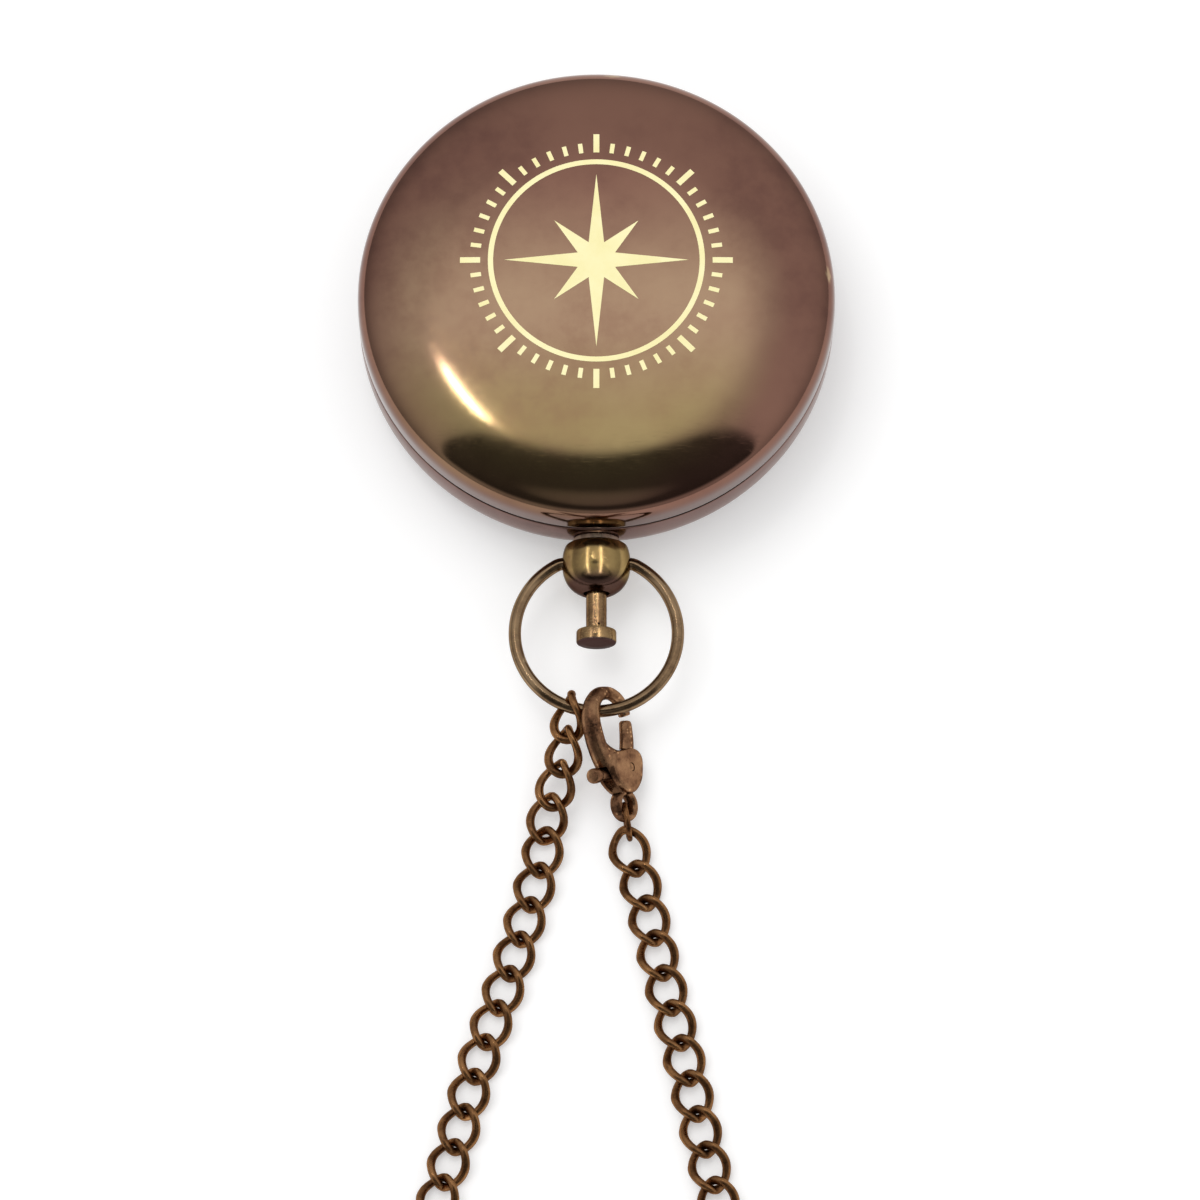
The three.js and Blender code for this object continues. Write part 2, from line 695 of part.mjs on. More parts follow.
// Distances from one link's centre to the next: with play, bunched, and drawn until the wires meet
const tightPitch = linkLength - chainWire * 2;
const linkPitch = tightPitch - linkPlay;
const bunchedPitch = tightPitch - bunchedPlay;
const runPitch = tightPitch - runPlay;
const drawnPitch = tightPitch + drawnLap;

// Where a link lies: its centre and direction, and how far it is rolled from flat
function linkPlace(centre, along, roll = 0) {
  const side = new THREE.Vector3(0, 0, 1).cross(along).normalize();
  const up = along.clone().cross(side).normalize();
  const frame = new THREE.Matrix4().makeBasis(along.clone().normalize(), side, up);
  frame.multiply(new THREE.Matrix4().makeRotationX(THREE.MathUtils.degToRad(roll)));
  return frame.setPosition(centre);
}

// The link at a distance along a route of centres
function placeAlong(route, distance, roll = 0) {
  const share = Math.min(Math.max(distance / route.getLength(), 0), 1);
  return linkPlace(route.getPointAt(share), route.getTangentAt(share), roll);
}

const through = (points) => new THREE.CatmullRomCurve3(points.map((point) => new THREE.Vector3(...point)));

// The left strand hangs on the bow ring. Its first links are bunched and rolled, the others lie flat.
// Its points are sideways places and drops below the ring
const leftPoint = (x, drop, z) => [x, bowLowY - drop, z];
const leftRoute = through([
  leftPoint(-2.85, 0.55, pendantHeight - 0.25),
  leftPoint(-3.35, 4.35, pendantHeight - 1.3),
  leftPoint(-4.2, 7.55, pendantHeight - 2.4),
  leftPoint(-5.1, 10.85, chainZ + 0.4),
  leftPoint(-5.6, 14.35, chainZ),
  leftPoint(-7.45, 21.65, chainZ),
  leftPoint(-9.6, 28.85, chainZ),
  leftPoint(-12, 36.05, chainZ),
  leftPoint(-14, 43.35, chainZ),
  leftPoint(-16.1, 50.65, chainZ),
]);
const leftRolls = [45, 34, 20, 8];
const leftStarts = Array.from({ length: leftLinks }, (_, i) =>
  Math.min(i, bunchedLinks) * bunchedPitch + Math.max(i - bunchedLinks, 0) * linkPitch);
const leftPlaces = leftStarts.map((start, i) => placeAlong(leftRoute, start, leftRolls[i]));

// The right strand hangs on the claw's jump ring and lies flat from its second link on.
// Its points are places beside and below the ring's lower end
const tailLow = new THREE.Vector3(tailX, tailY - tailHoleRadius - tailWall / 2, 0).applyMatrix4(clawFrame);
const firstEnd = tailLow.clone().add(new THREE.Vector3(jumpSide, -jumpDrop, -jumpTilt));
const halfLink = (linkLength - chainWire) / 2;
const rightPoint = (x, drop, z) => [firstEnd.x + x, firstEnd.y - drop, z];
const rightRoute = through([
  rightPoint(0.25, halfLink, firstEnd.z - 0.4),
  rightPoint(1.4, 6.1, chainZ),
  rightPoint(2.3, 9.9, chainZ),
  rightPoint(4, 17.2, chainZ),
  rightPoint(5.8, 24.5, chainZ),
  rightPoint(7.4, 31.8, chainZ),
  rightPoint(9.15, 39.1, chainZ),
]);
const rightPlaces = Array.from({ length: rightLinks }, (_, i) => placeAlong(rightRoute, i * linkPitch));

const jumpCentre = tailLow.clone().lerp(firstEnd, 0.5).add(new THREE.Vector3(0, jumpRise, jumpLift));

function jumpRing() {
  return new THREE.TorusGeometry(jumpRingRadius, jumpWireRadius, 6, 16)
    .rotateY(Math.PI / 2).rotateZ(THREE.MathUtils.degToRad(jumpYaw)).translate(...jumpCentre.toArray());
}

// The loop that joins the strands: both run on straight to a round end, which they meet at a tangent
function loopRoute() {
  const left = new THREE.Vector3().setFromMatrixPosition(leftPlaces.at(-1));
  const right = new THREE.Vector3().setFromMatrixPosition(rightPlaces.at(-1));
  const leftWay = leftRoute.getTangentAt(1).setZ(0).normalize();
  const rightWay = rightRoute.getTangentAt(1).setZ(0).normalize();
  const leftIn = new THREE.Vector3(-leftWay.y, leftWay.x, 0);
  const rightIn = new THREE.Vector3(rightWay.y, -rightWay.x, 0);
  const leftTurn = left.clone().addScaledVector(leftIn, loopRadius);
  const rightTurn = right.clone().addScaledVector(rightIn, loopRadius);
  const gap = rightTurn.sub(leftTurn);
  const crossed = (a, b) => a.x * b.y - a.y * b.x;
  const centre = leftTurn.addScaledVector(leftWay, crossed(gap, rightWay) / crossed(leftWay, rightWay));
  const from = Math.atan2(-leftIn.y, -leftIn.x);
  const to = Math.atan2(-rightIn.y, -rightIn.x) + 2 * Math.PI;
  const steps = 24;
  const bend = Array.from({ length: steps + 1 }, (_, i) => {
    const angle = from + ((to - from) * i) / steps;
    const outward = new THREE.Vector3(Math.cos(angle), Math.sin(angle), 0);
    return centre.clone().addScaledVector(outward, loopRadius).setZ(chainZ);
  });
  const route = new THREE.CurvePath();
  route.add(new THREE.LineCurve3(left, bend[0]));
  route.add(new THREE.CatmullRomCurve3(bend));
  route.add(new THREE.LineCurve3(bend.at(-1), right));
  return route;
}

// The loop's links are drawn tight in runs. A closing link's length is left open between the middle runs
function loopPlaces() {
  const route = loopRoute();
  const length = route.getLength();
  const jointed = (loopRuns + 2) * runPitch;
  const drawn = Math.floor((length - jointed) / drawnPitch);
  const pitch = (length - jointed) / drawn;
  const links = drawn + loopRuns;
  const leftRuns = Math.ceil(loopRuns / 2);
  const runs = [];
  let start = 0;
  for (let run = 0; run < loopRuns; run += 1) {
    const count = Math.floor((links * (run + 1)) / loopRuns) - Math.floor((links * run) / loopRuns);
    start += run === leftRuns ? 2 * runPitch : runPitch;
    runs.push(Array.from({ length: count }, (_, i) => placeAlong(route, start + i * pitch)));
    start += (count - 1) * pitch;
  }
  return runs;
}

function chainRun(places) {
  const link = solid(linkGeometry());
  return places.map((place) => link.transform(place.elements)).reduce((made, next) => made.add(next));
}

const part = new THREE.Group();
part.add(
  piece('base_case', baseCase(), antiqueBrass),
  piece('lid_shell', lidShell(), antiqueBrass),
  piece('lid_band', lidBand(), brightBrass),
  piece('lid_leaf', lidLeaf(), brightBrass),
  piece('base_leaf', baseLeaf(), brightBrass),
  piece('hinge_pin', hingePin(), steel),
  piece('catch_spring', catchSpring(), steel),
  piece('lift_spring', liftSpring(), steel),
  piece('compass_card', weld(compassCard()), dialWhite),
  piece('capsule_ring', weld(capsuleRing()), brightBrass),
  piece('crystal', weld(crystal()), glass),
  piece('pivot_post', weld(pivotPost()), brightBrass),
  piece('needle', weld(needle()), needleBlue),
  piece('needle_cap', weld(needleCap()), brightBrass),
  piece('hour_ring', hourRing(), brightBrass),
  piece('gnomon', gnomon(), brightBrass),
  piece('pendant_neck', weld(pendantNeck()), antiqueBrass),
  piece('pendant_ball', pendantBall(), antiqueBrass),
  piece('push_stem', pushStem(), antiqueBrass),
  piece('button_cap', weld(buttonCap()), antiqueBrass),
  piece('bow_ring', weld(bowRing()), antiqueBrass),
);

const claw = new THREE.Group();
claw.applyMatrix4(clawFrame);
claw.add(
  piece('claw_body', clawBody(), copperBrown),
  piece('claw_trigger', clawTrigger(), copperBrown),
  piece('claw_rivet', weld(clawRivet()), copperBrown),
  piece('claw_spring', weld(clawSpring()), steel),
);
part.add(claw, piece('claw_jump_ring', weld(jumpRing()), copperBrown));

function strand(side, places) {
  places.forEach((place, i) => {
    const link = piece(`${side}_link_${String(i + 1).padStart(2, '0')}`, weld(linkGeometry()), copperBrown);
    link.applyMatrix4(place);
    part.add(link);
  });
}

strand('left', leftPlaces);
strand('right', rightPlaces);
loopPlaces().forEach((places, i) => part.add(piece(`loop_run_${i + 1}`, chainRun(places), copperBrown)));

export default part;
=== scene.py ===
# %% [markdown]
# # A pocket sundial compass
# The object is a closed pressed-brass case, 50 mm across, with a push-button pendant, a bow ring,
# a lobster claw and a curb chain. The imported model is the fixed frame: it says where every piece is.
# Here each piece gets the surface that a hand would feel: round wires, rolled rims and cast metal.

# %% Load the frame
import json
import math

import bpy
import numpy as np
from mathutils import Matrix, Vector


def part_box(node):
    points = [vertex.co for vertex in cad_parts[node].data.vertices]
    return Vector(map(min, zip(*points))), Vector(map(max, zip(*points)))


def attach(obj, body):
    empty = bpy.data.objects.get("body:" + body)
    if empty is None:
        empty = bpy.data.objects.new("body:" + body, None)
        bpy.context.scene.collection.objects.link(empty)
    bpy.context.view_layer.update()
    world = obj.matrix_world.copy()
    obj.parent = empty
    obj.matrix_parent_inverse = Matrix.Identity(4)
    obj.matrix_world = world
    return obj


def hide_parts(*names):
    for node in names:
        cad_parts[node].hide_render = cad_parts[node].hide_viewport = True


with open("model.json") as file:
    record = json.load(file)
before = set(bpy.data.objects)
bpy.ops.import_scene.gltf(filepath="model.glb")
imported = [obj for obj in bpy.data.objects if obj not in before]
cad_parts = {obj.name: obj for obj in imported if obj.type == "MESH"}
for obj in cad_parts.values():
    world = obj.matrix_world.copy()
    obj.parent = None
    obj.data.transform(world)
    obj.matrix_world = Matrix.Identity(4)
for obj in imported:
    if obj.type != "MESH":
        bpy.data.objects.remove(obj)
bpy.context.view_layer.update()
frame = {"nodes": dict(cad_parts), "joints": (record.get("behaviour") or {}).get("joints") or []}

nodes = frame["nodes"]
pivots = {joint["name"]: Vector(joint["pos_m"]) * 1000 for joint in frame["joints"] if "pos_m" in joint}

# %% [markdown]
# ## The camera
# The photograph looks down on the case from the pendant's side, 18 degrees off the vertical, through a
# long lens. The point in the middle of the picture lies on the table between the ring and the claw.

# %% Camera
view_tilt = math.radians(18)
view_distance = 600
view_centre = Vector((0.377, -30.298, 1.0))
view_back = Vector((0, -math.sin(view_tilt), math.cos(view_tilt)))
lens_mm = 172.2
sensor_mm = 36

camera_place = (view_centre + view_back * view_distance) / 1000
bpy.ops.object.camera_add(location=camera_place, rotation=(view_tilt, 0, 0))
camera = bpy.context.object
camera.data.lens = lens_mm
camera.data.sensor_width = sensor_mm
camera.data.clip_start = 0.05
bpy.context.scene.camera = camera
print("camera height", round(camera.location.z, 3))

# %% [markdown]
# ## Working with operators
# Every piece is modelled with one Blender unit standing for one millimetre, so that bevels and merge
# distances are easy numbers. A finished piece is shrunk to metres, and its place goes into its mesh.
# Operators act on all that is selected, so each step starts by selecting just what it needs.

# %% Helpers for selecting and joining
def pick(*pieces):
    bpy.ops.object.select_all(action="DESELECT")
    for piece in pieces:
        piece.select_set(True)
    bpy.context.view_layer.objects.active = pieces[-1]
    return pieces[-1]


def added(operator, **settings):
    """Deselects everything, and hands over the object that an operator then adds."""
    bpy.ops.object.select_all(action="DESELECT")
    operator(**settings)
    return bpy.context.object


def settle(piece):
    pick(piece)
    bpy.ops.object.transform_apply(location=True, rotation=True, scale=True)
    return piece


def modified(piece, kind, **settings):
    pick(piece)
    modifier = piece.modifiers.new(kind.title(), kind)
    for key, value in settings.items():
        setattr(modifier, key, value)
    bpy.ops.object.modifier_apply(modifier=modifier.name)
    return piece


def joined(pieces):
    pick(*reversed(pieces))
    bpy.ops.object.join()
    return bpy.context.object


def cut(piece, *cutters, how="DIFFERENCE"):
    for cutter in cutters:
        settle(cutter)
        modified(piece, "BOOLEAN", operation=how, object=cutter, solver="EXACT")
        bpy.data.objects.remove(cutter)
    return piece


# %% Helpers for editing a mesh
def in_edit(piece, selected=True):
    pick(piece)
    bpy.ops.object.mode_set(mode="EDIT")
    bpy.ops.mesh.select_all(action="SELECT" if selected else "DESELECT")


def out_of_edit(piece):
    bpy.ops.mesh.select_all(action="SELECT")
    bpy.ops.mesh.normals_make_consistent(inside=False)
    bpy.ops.object.mode_set(mode="OBJECT")
    return piece


def extruded(*way):
    bpy.ops.mesh.extrude_region_move(TRANSFORM_OT_translate={"value": way})


def resized(share):
    """Draws what is selected in towards the Z axis, or out from it."""
    bpy.ops.transform.resize(value=(share, share, 1), center_override=(0, 0, 0))


def merged(piece, distance=0.001):
    in_edit(piece)
    bpy.ops.mesh.remove_doubles(threshold=distance)
    return out_of_edit(piece)


def fill_ends(piece):
    """Closes the ends that a piece still has open."""
    in_edit(piece, selected=False)
    bpy.ops.mesh.select_non_manifold()
    bpy.ops.mesh.edge_face_add()
    return out_of_edit(piece)


# %% Helpers for finishing and measuring
def soften(piece, degrees=35):
    pick(piece)
    bpy.ops.object.shade_smooth_by_angle(angle=math.radians(degrees))
    return piece


def finished(piece, name, body, slot, material, *stands_for):
    piece.scale *= 0.001
    piece.location *= 0.001
    settle(piece)
    piece.name = name
    piece.data.name = name
    if material:
        piece.data.materials.clear()
        piece.data.materials.append(material)
    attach(piece, body)
    if stands_for:
        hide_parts(*stands_for)
    return piece


def span(node):
    low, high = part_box(node)
    return Vector(low) * 1000, Vector(high) * 1000


def upright(node):
    """The radius, foot and top of a node that is round about the Z axis."""
    low, high = span(node)
    return high.x, low.z, high.z


# %% [markdown]
# ## Turned work
# Most of the case is sheet metal spun over a former, and the pendant is turned in a lathe. Both are
# modelled the same way: a circle is extruded ring by ring along its profile, and each new ring is
# resized to the next radius. That keeps the rings even, so highlights run round without a ripple.

# %% Turning a profile
def arc(centre_r, centre_h, radius, start, stop, steps):
    turns = [math.radians(start + (stop - start) * i / steps) for i in range(steps + 1)]
    return [(centre_r + radius * math.cos(turn), centre_h + radius * math.sin(turn)) for turn in turns]


def turned(profile, sides, first_filled=False, closed=False):
    """A ring is extruded along [(radius, height)]. A last radius of 0 closes it in a pole."""
    radius, height = profile[0]
    fill = "TRIFAN" if first_filled else "NOTHING"
    piece = added(bpy.ops.mesh.primitive_circle_add, vertices=sides, radius=radius, fill_type=fill)
    piece.location.z = height
    in_edit(settle(piece))
    if first_filled:
        bpy.ops.mesh.region_to_loop()
    for (radius, height), (next_radius, next_height) in zip(profile, profile[1:]):
        extruded(0, 0, next_height - height)
        if next_radius == 0:
            bpy.ops.mesh.merge(type="CENTER")
        elif next_radius != radius:
            resized(next_radius / radius)
    if closed:
        bpy.ops.mesh.select_all(action="SELECT")
        bpy.ops.mesh.remove_doubles(threshold=0.001)
    return out_of_edit(piece)


def box_between(low, high):
    low, high = Vector(low), Vector(high)
    cube = added(bpy.ops.mesh.primitive_cube_add, size=1, location=(low + high) / 2)
    cube.scale = high - low
    return settle(cube)


def rod_between(start, end, radius, sides=48):
    start, end = Vector(start), Vector(end)
    way = end - start
    rod = added(bpy.ops.mesh.primitive_cylinder_add, vertices=sides, radius=radius, depth=way.length)
    rod.rotation_euler = way.to_track_quat("Z", "Y").to_euler()
    rod.location = (start + end) / 2
    return settle(rod)


# %% [markdown]
# ## Patina, wear and scratches as node groups
# Antiqued brass is plated dark and then rubbed back. Three effects make that finish, and each is a
# group that any material can use: a cloudy patina, bright rubbed edges, and fine scratches.

# %% Node group helpers
def new_group(name, inputs, outputs):
    """Every group reads a Vector. A further input is a colour if its default is one."""
    group = bpy.data.node_groups.new(name, "ShaderNodeTree")
    group.interface.new_socket(name="Vector", in_out="INPUT", socket_type="NodeSocketVector")
    for label, value in inputs.items():
        kind = "NodeSocketColor" if isinstance(value, tuple) else "NodeSocketFloat"
        socket = group.interface.new_socket(name=label, in_out="INPUT", socket_type=kind)
        socket.default_value = value
    for label in outputs:
        kind = "NodeSocketColor" if label == "Color" else "NodeSocketFloat"
        group.interface.new_socket(name=label, in_out="OUTPUT", socket_type=kind)
    return group, group.nodes.new("NodeGroupInput").outputs, group.nodes.new("NodeGroupOutput").inputs


def add_node(tree, kind, inputs=None, **settings):
    node = tree.nodes.new(kind)
    for key, value in settings.items():
        setattr(node, key, value)
    for key, value in (inputs or {}).items():
        if isinstance(value, bpy.types.NodeSocket):
            tree.links.new(value, node.inputs[key])
        else:
            node.inputs[key].default_value = value
    return node


def noise_at(tree, coordinates, scale, detail=4, roughness=0.55):
    return add_node(tree, "ShaderNodeTexNoise", {
        "Vector": coordinates, "Scale": scale, "Detail": detail, "Roughness": roughness,
    }).outputs["Fac"]


def mapped(tree, value, low, high, to_low=0.0, to_high=1.0):
    return add_node(tree, "ShaderNodeMapRange", {
        "Value": value, "From Min": low, "From Max": high, "To Min": to_low, "To Max": to_high,
    }, interpolation_type="SMOOTHSTEP").outputs["Result"]


def blended(tree, mask, first, second):
    return add_node(tree, "ShaderNodeMix", {0: mask, 6: first, 7: second}, data_type="RGBA").outputs[2]


def calculated(tree, operation, first, second):
    return add_node(tree, "ShaderNodeMath", {0: first, 1: second}, operation=operation).outputs[0]


def on_vectors(tree, operation, first, second=(0, 0, 0), result="Vector"):
    node = add_node(tree, "ShaderNodeVectorMath", {0: first, 1: second}, operation=operation)
    return node.outputs[result]


def along(tree, vector, axis):
    return add_node(tree, "ShaderNodeSeparateXYZ", {"Vector": vector}).outputs[axis]


# %% Patina group
def make_patina_group():
    group, source, result = new_group("Cloudy patina", {
        "Light": (0.4, 0.3, 0.2, 1), "Middle": (0.3, 0.2, 0.1, 1), "Dark": (0.1, 0.06, 0.03, 1),
        "Scale": 120.0,
    }, ("Color", "Mask"))
    clouds = noise_at(group, source["Vector"], source["Scale"], 5, 0.6)
    grain_scale = calculated(group, "MULTIPLY", source["Scale"], 9.0)
    grain = noise_at(group, source["Vector"], grain_scale, 3, 0.6)
    broad = mapped(group, clouds, 0.35, 0.68)
    fine = mapped(group, grain, 0.3, 0.72)
    middle = blended(group, broad, source["Middle"], source["Light"])
    specks = calculated(group, "MULTIPLY", mapped(group, clouds, 0.6, 0.32), fine)
    group.links.new(blended(group, specks, middle, source["Dark"]), result["Color"])
    group.links.new(calculated(group, "MULTIPLY", broad, fine), result["Mask"])
    return group


# %% Rubbed edge group
def make_rubbed_group():
    group, source, result = new_group(
        "Rubbed edges", {"Width": 0.06, "Scale": 900.0}, ("Mask", "Hollow"))
    point = add_node(group, "ShaderNodeNewGeometry").outputs["Pointiness"]
    cloud = noise_at(group, source["Vector"], source["Scale"])
    breakup = mapped(group, cloud, 0.3, 0.7, 0.35, 1)
    edge = mapped(group, point, 0.515, calculated(group, "ADD", 0.5, source["Width"]))
    hollow = mapped(group, point, 0.485, calculated(group, "SUBTRACT", 0.5, source["Width"]))
    group.links.new(calculated(group, "MULTIPLY", edge, breakup), result["Mask"])
    group.links.new(hollow, result["Hollow"])
    return group


# %% Scratch group
def make_scratch_group():
    group, source, result = new_group("Fine scratches", {"Scale": 600.0}, ("Height", "Mask"))
    marks = []
    for turn, stretch in ((0.4, 14.0), (-0.9, 18.0), (1.5, 16.0)):
        lined = add_node(group, "ShaderNodeMapping", {
            "Vector": source["Vector"], "Rotation": (0, 0, turn), "Scale": (1, stretch, 1),
        })
        value = noise_at(group, lined.outputs["Vector"], source["Scale"], 2, 0.5)
        marks.append(mapped(group, value, 0.66, 0.72))
    mask = calculated(group, "MAXIMUM", calculated(group, "MAXIMUM", marks[0], marks[1]), marks[2])
    group.links.new(mask, result["Mask"])
    group.links.new(calculated(group, "MULTIPLY", mask, -1.0), result["Height"])
    return group


patina_group = make_patina_group()
rubbed_group = make_rubbed_group()
scratch_group = make_scratch_group()
print("groups", [group.name for group in bpy.data.node_groups])


# %% [markdown]
# ## Metals
# A metal is one Principled shader. Its colour comes from the patina, with painted dark reflections on
# the pendant, its edges from the rubbing and its gloss from all of them: lacquered high places are
# smooth, dark hollows are dull.

# %% Helpers for a material
def rgb(red, green, blue):
    """A colour as it shows on a screen, 0 to 255, as the linear value that a shader takes."""
    def linear(value):
        share = value / 255
        return share / 12.92 if share <= 0.04045 else ((share + 0.055) / 1.055) ** 2.4
    return (linear(red), linear(green), linear(blue), 1)


def new_material(name, constants=None):
    material = bpy.data.materials.new(name)
    material.use_nodes = True
    tree = material.node_tree
    shader = tree.nodes["Principled BSDF"]
    for label, value in (constants or {}).items():
        shader.inputs[label].default_value = value
    place = add_node(tree, "ShaderNodeTexCoord").outputs["Object"]
    return material, tree, shader, place


def placed_group(tree, group, place, **values):
    node = tree.nodes.new("ShaderNodeGroup")
    node.node_tree = group
    tree.links.new(place, node.inputs["Vector"])
    for label, value in values.items():
        node.inputs[label].default_value = value
    return node.outputs


def surfaced(tree, shader, colour, roughness, height, strength, depth):
    """Links a colour, a roughness and a height, which is a bump so many metres deep, to the shader."""
    tree.links.new(colour, shader.inputs["Base Color"])
    tree.links.new(roughness, shader.inputs["Roughness"])
    relief = add_node(tree, "ShaderNodeBump", {
        "Height": height, "Strength": strength, "Distance": depth,
    })
    tree.links.new(relief.outputs["Normal"], shader.inputs["Normal"])


# %% Antique metal
def antique_metal(name, tones, scale, roughness, rubbed=0.12, bump=0.0000015, lathed=False,
                  dark_reflection_paint=None, edge=0.5):
    """tones are the light, middle and dark patina and the rubbed edge. lathed gives a pendant piece the
    fine rings of its turning about Y. The span (from, to, tone) along Y paints a dark reflection: the
    colour darkens to the tone from one place to another. edge is how much the metal still reflects where
    it is seen edge on; its dark oxide takes the rest."""
    light, middle, dark, bright = [rgb(*tone) for tone in tones]
    material, tree, shader, place = new_material(name, {
        "Metallic": 1, "Specular Tint": (edge, edge * 0.94, edge * 0.92, 1),
    })
    patina = placed_group(tree, patina_group, place, Light=light, Middle=middle, Dark=dark, Scale=scale)
    edges = placed_group(tree, rubbed_group, place, Width=rubbed)
    scratches = placed_group(tree, scratch_group, place)
    hollow = calculated(tree, "MULTIPLY", edges["Hollow"], 0.8)
    colour = blended(tree, hollow, patina["Color"], dark)
    colour = blended(tree, edges["Mask"], colour, bright)
    # Along Y the colour darkens to a painted dark reflection.
    if dark_reflection_paint:
        start, stop, tone = dark_reflection_paint
        colour = blended(tree, mapped(tree, along(tree, place, "Y"), start, stop), colour, rgb(*tone))
    smooth, dull = roughness
    gloss = mapped(tree, patina["Mask"], 0.0, 0.8, dull, smooth)
    gloss = calculated(tree, "ADD", gloss, calculated(tree, "MULTIPLY", scratches["Mask"], 0.08))
    height = calculated(tree, "ADD", noise_at(tree, place, scale * 16, 3), scratches["Height"])
    if lathed:
        shader.inputs["Anisotropic"].default_value = 0.3
        grain_way = add_node(tree, "ShaderNodeTangent", direction_type="RADIAL", axis="Y")
        tree.links.new(grain_way.outputs["Tangent"], shader.inputs["Tangent"])
        rings = add_node(tree, "ShaderNodeTexWave", {
            "Vector": place, "Scale": 900.0, "Distortion": 1.5, "Detail": 2.0, "Detail Scale": 1.5,
        }, bands_direction="Y")
        height = calculated(tree, "ADD", height, calculated(tree, "MULTIPLY", rings.outputs["Fac"], 1.6))
    surfaced(tree, shader, colour, gloss, height, 0.35, bump)
    return material


# %% The metals
case_brass = antique_metal(
    "antique brass case", ((120, 93, 87), (110, 84, 79), (90, 68, 63), (170, 146, 120)),
    scale=60, roughness=(0.12, 0.2), edge=1.0)
# The ball's outer half darkens along Y to a painted dark reflection.
pendant_brass = antique_metal(
    "antique brass turned", ((162, 138, 90), (142, 115, 75), (104, 78, 56), (204, 180, 128)),
    scale=120, roughness=(0.12, 0.2), bump=0.0000008, lathed=True,
    dark_reflection_paint=(-0.0288, -0.0302, (84, 62, 54)))
# The neck's light grey tone is partly its own and partly painted light, which lifts the collar out of
# the shade of the gap.
neck_brass_painted_light = antique_metal(
    "antique brass neck", ((168, 150, 136), (152, 132, 118), (120, 98, 86), (206, 188, 164)),
    scale=160, roughness=(0.2, 0.32), lathed=True, edge=1.0)
# The button's flat end face is darkened to a painted dark reflection of the table.
button_brass = antique_metal(
    "antique brass button", ((158, 128, 90), (138, 108, 76), (96, 70, 54), (206, 178, 124)),
    scale=160, roughness=(0.14, 0.24), lathed=True, edge=0.45,
    dark_reflection_paint=(-0.03615, -0.03632, (84, 66, 64)))
ring_brass = antique_metal(
    "antique brass wire", ((152, 127, 98), (136, 110, 82), (96, 74, 56), (196, 172, 138)),
    scale=180, roughness=(0.12, 0.2), rubbed=0.14, bump=0.000001)
chain_copper = antique_metal(
    "antique copper chain", ((142, 100, 64), (104, 67, 42), (38, 25, 17), (198, 148, 98)),
    scale=480, roughness=(0.18, 0.34), bump=0.000003)
claw_copper = antique_metal(
    "antique copper cast", ((158, 120, 88), (128, 90, 66), (44, 30, 23), (214, 166, 122)),
    scale=420, roughness=(0.2, 0.36), bump=0.000005)
inside_brass = antique_metal(
    "polished brass", ((224, 192, 124), (214, 178, 108), (160, 124, 68), (238, 212, 156)),
    scale=150, roughness=(0.14, 0.22))
spring_steel = antique_metal(
    "spring steel", ((188, 190, 194), (174, 176, 180), (120, 122, 126), (220, 222, 226)),
    scale=300, roughness=(0.2, 0.3))
print("metals", [material.name for material in bpy.data.materials])


# %% [markdown]
# The lid's colour drifts over the dome in painted reflections of the room's warmer and cooler parts:
# mauve brown at the far side and round the edge, warm tan in the middle, and olive gold towards the
# pendant.

# %% Lid material
def lid_material():
    material, tree, shader, place = new_material("antique brass lid", {"Metallic": 1})
    wander = add_node(tree, "ShaderNodeTexNoise", {"Vector": place, "Scale": 45.0, "Detail": 3.0})
    bent = on_vectors(tree, "MULTIPLY", wander.outputs["Color"], (0.005, 0.005, 0.0))
    moved = on_vectors(tree, "ADD", place, bent)
    reach = on_vectors(tree, "LENGTH", on_vectors(tree, "MULTIPLY", moved, (1, 1, 0)), result="Value")
    olive_reflection_tone, middle, mauve_reflection_tone = [
        placed_group(
            tree, patina_group, place, Light=rgb(*light), Middle=rgb(*mean), Dark=rgb(*dark), Scale=50.0)
        for light, mean, dark in (
            ((154, 134, 94), (148, 126, 88), (144, 118, 86)),
            ((166, 138, 112), (160, 130, 106), (148, 116, 95)),
            ((134, 98, 84), (124, 89, 77), (112, 79, 70)),
        )
    ]
    # Painted reflections: olive gold towards the pendant, tan in the middle, mauve at the far side and
    # round the rim.
    across = along(tree, moved, "Y")
    colour = blended(tree, mapped(tree, across, -0.014, -0.001), olive_reflection_tone["Color"], middle["Color"])
    colour = blended(tree, mapped(tree, across, 0.0, 0.017), colour, mauve_reflection_tone["Color"])
    colour = blended(tree, mapped(tree, reach, 0.0165, 0.0235), colour, mauve_reflection_tone["Color"])
    # Painted dark reflection: the lower shoulder and the skirt darken towards the bottom.
    skirt_dark_reflection = mapped(tree, along(tree, place, "Z"), 0.0122, 0.0098)
    colour = blended(tree, skirt_dark_reflection, colour, rgb(112, 86, 78))
    edges = placed_group(tree, rubbed_group, place, Width=0.12)
    colour = blended(tree, edges["Mask"], colour, rgb(176, 150, 120))
    scratches = placed_group(tree, scratch_group, place)
    gloss = mapped(tree, middle["Mask"], 0.0, 0.8, 0.11, 0.075)
    gloss = calculated(tree, "ADD", gloss, calculated(tree, "MULTIPLY", scratches["Mask"], 0.05))
    height = calculated(tree, "ADD", noise_at(tree, place, 900, 3), scratches["Height"])
    surfaced(tree, shader, colour, gloss, height, 0.2, 0.0000015)
    return material


lid_brass = lid_material()

# %% [markdown]
# ## The case base
# The base is a shallow pressed pan with a rounded corner and a flat floor. Its rim is rolled over a
# little, so that the seam to the lid reads as a soft dark line. The pendant's hole and the notch for
# the hinge are cut last.

# %% Base
case_radius, _, base_rim = upright("base_case")
sheet_wall = 0.7
base_corner = 5.2
rim_round = 0.22
case_sides = 256

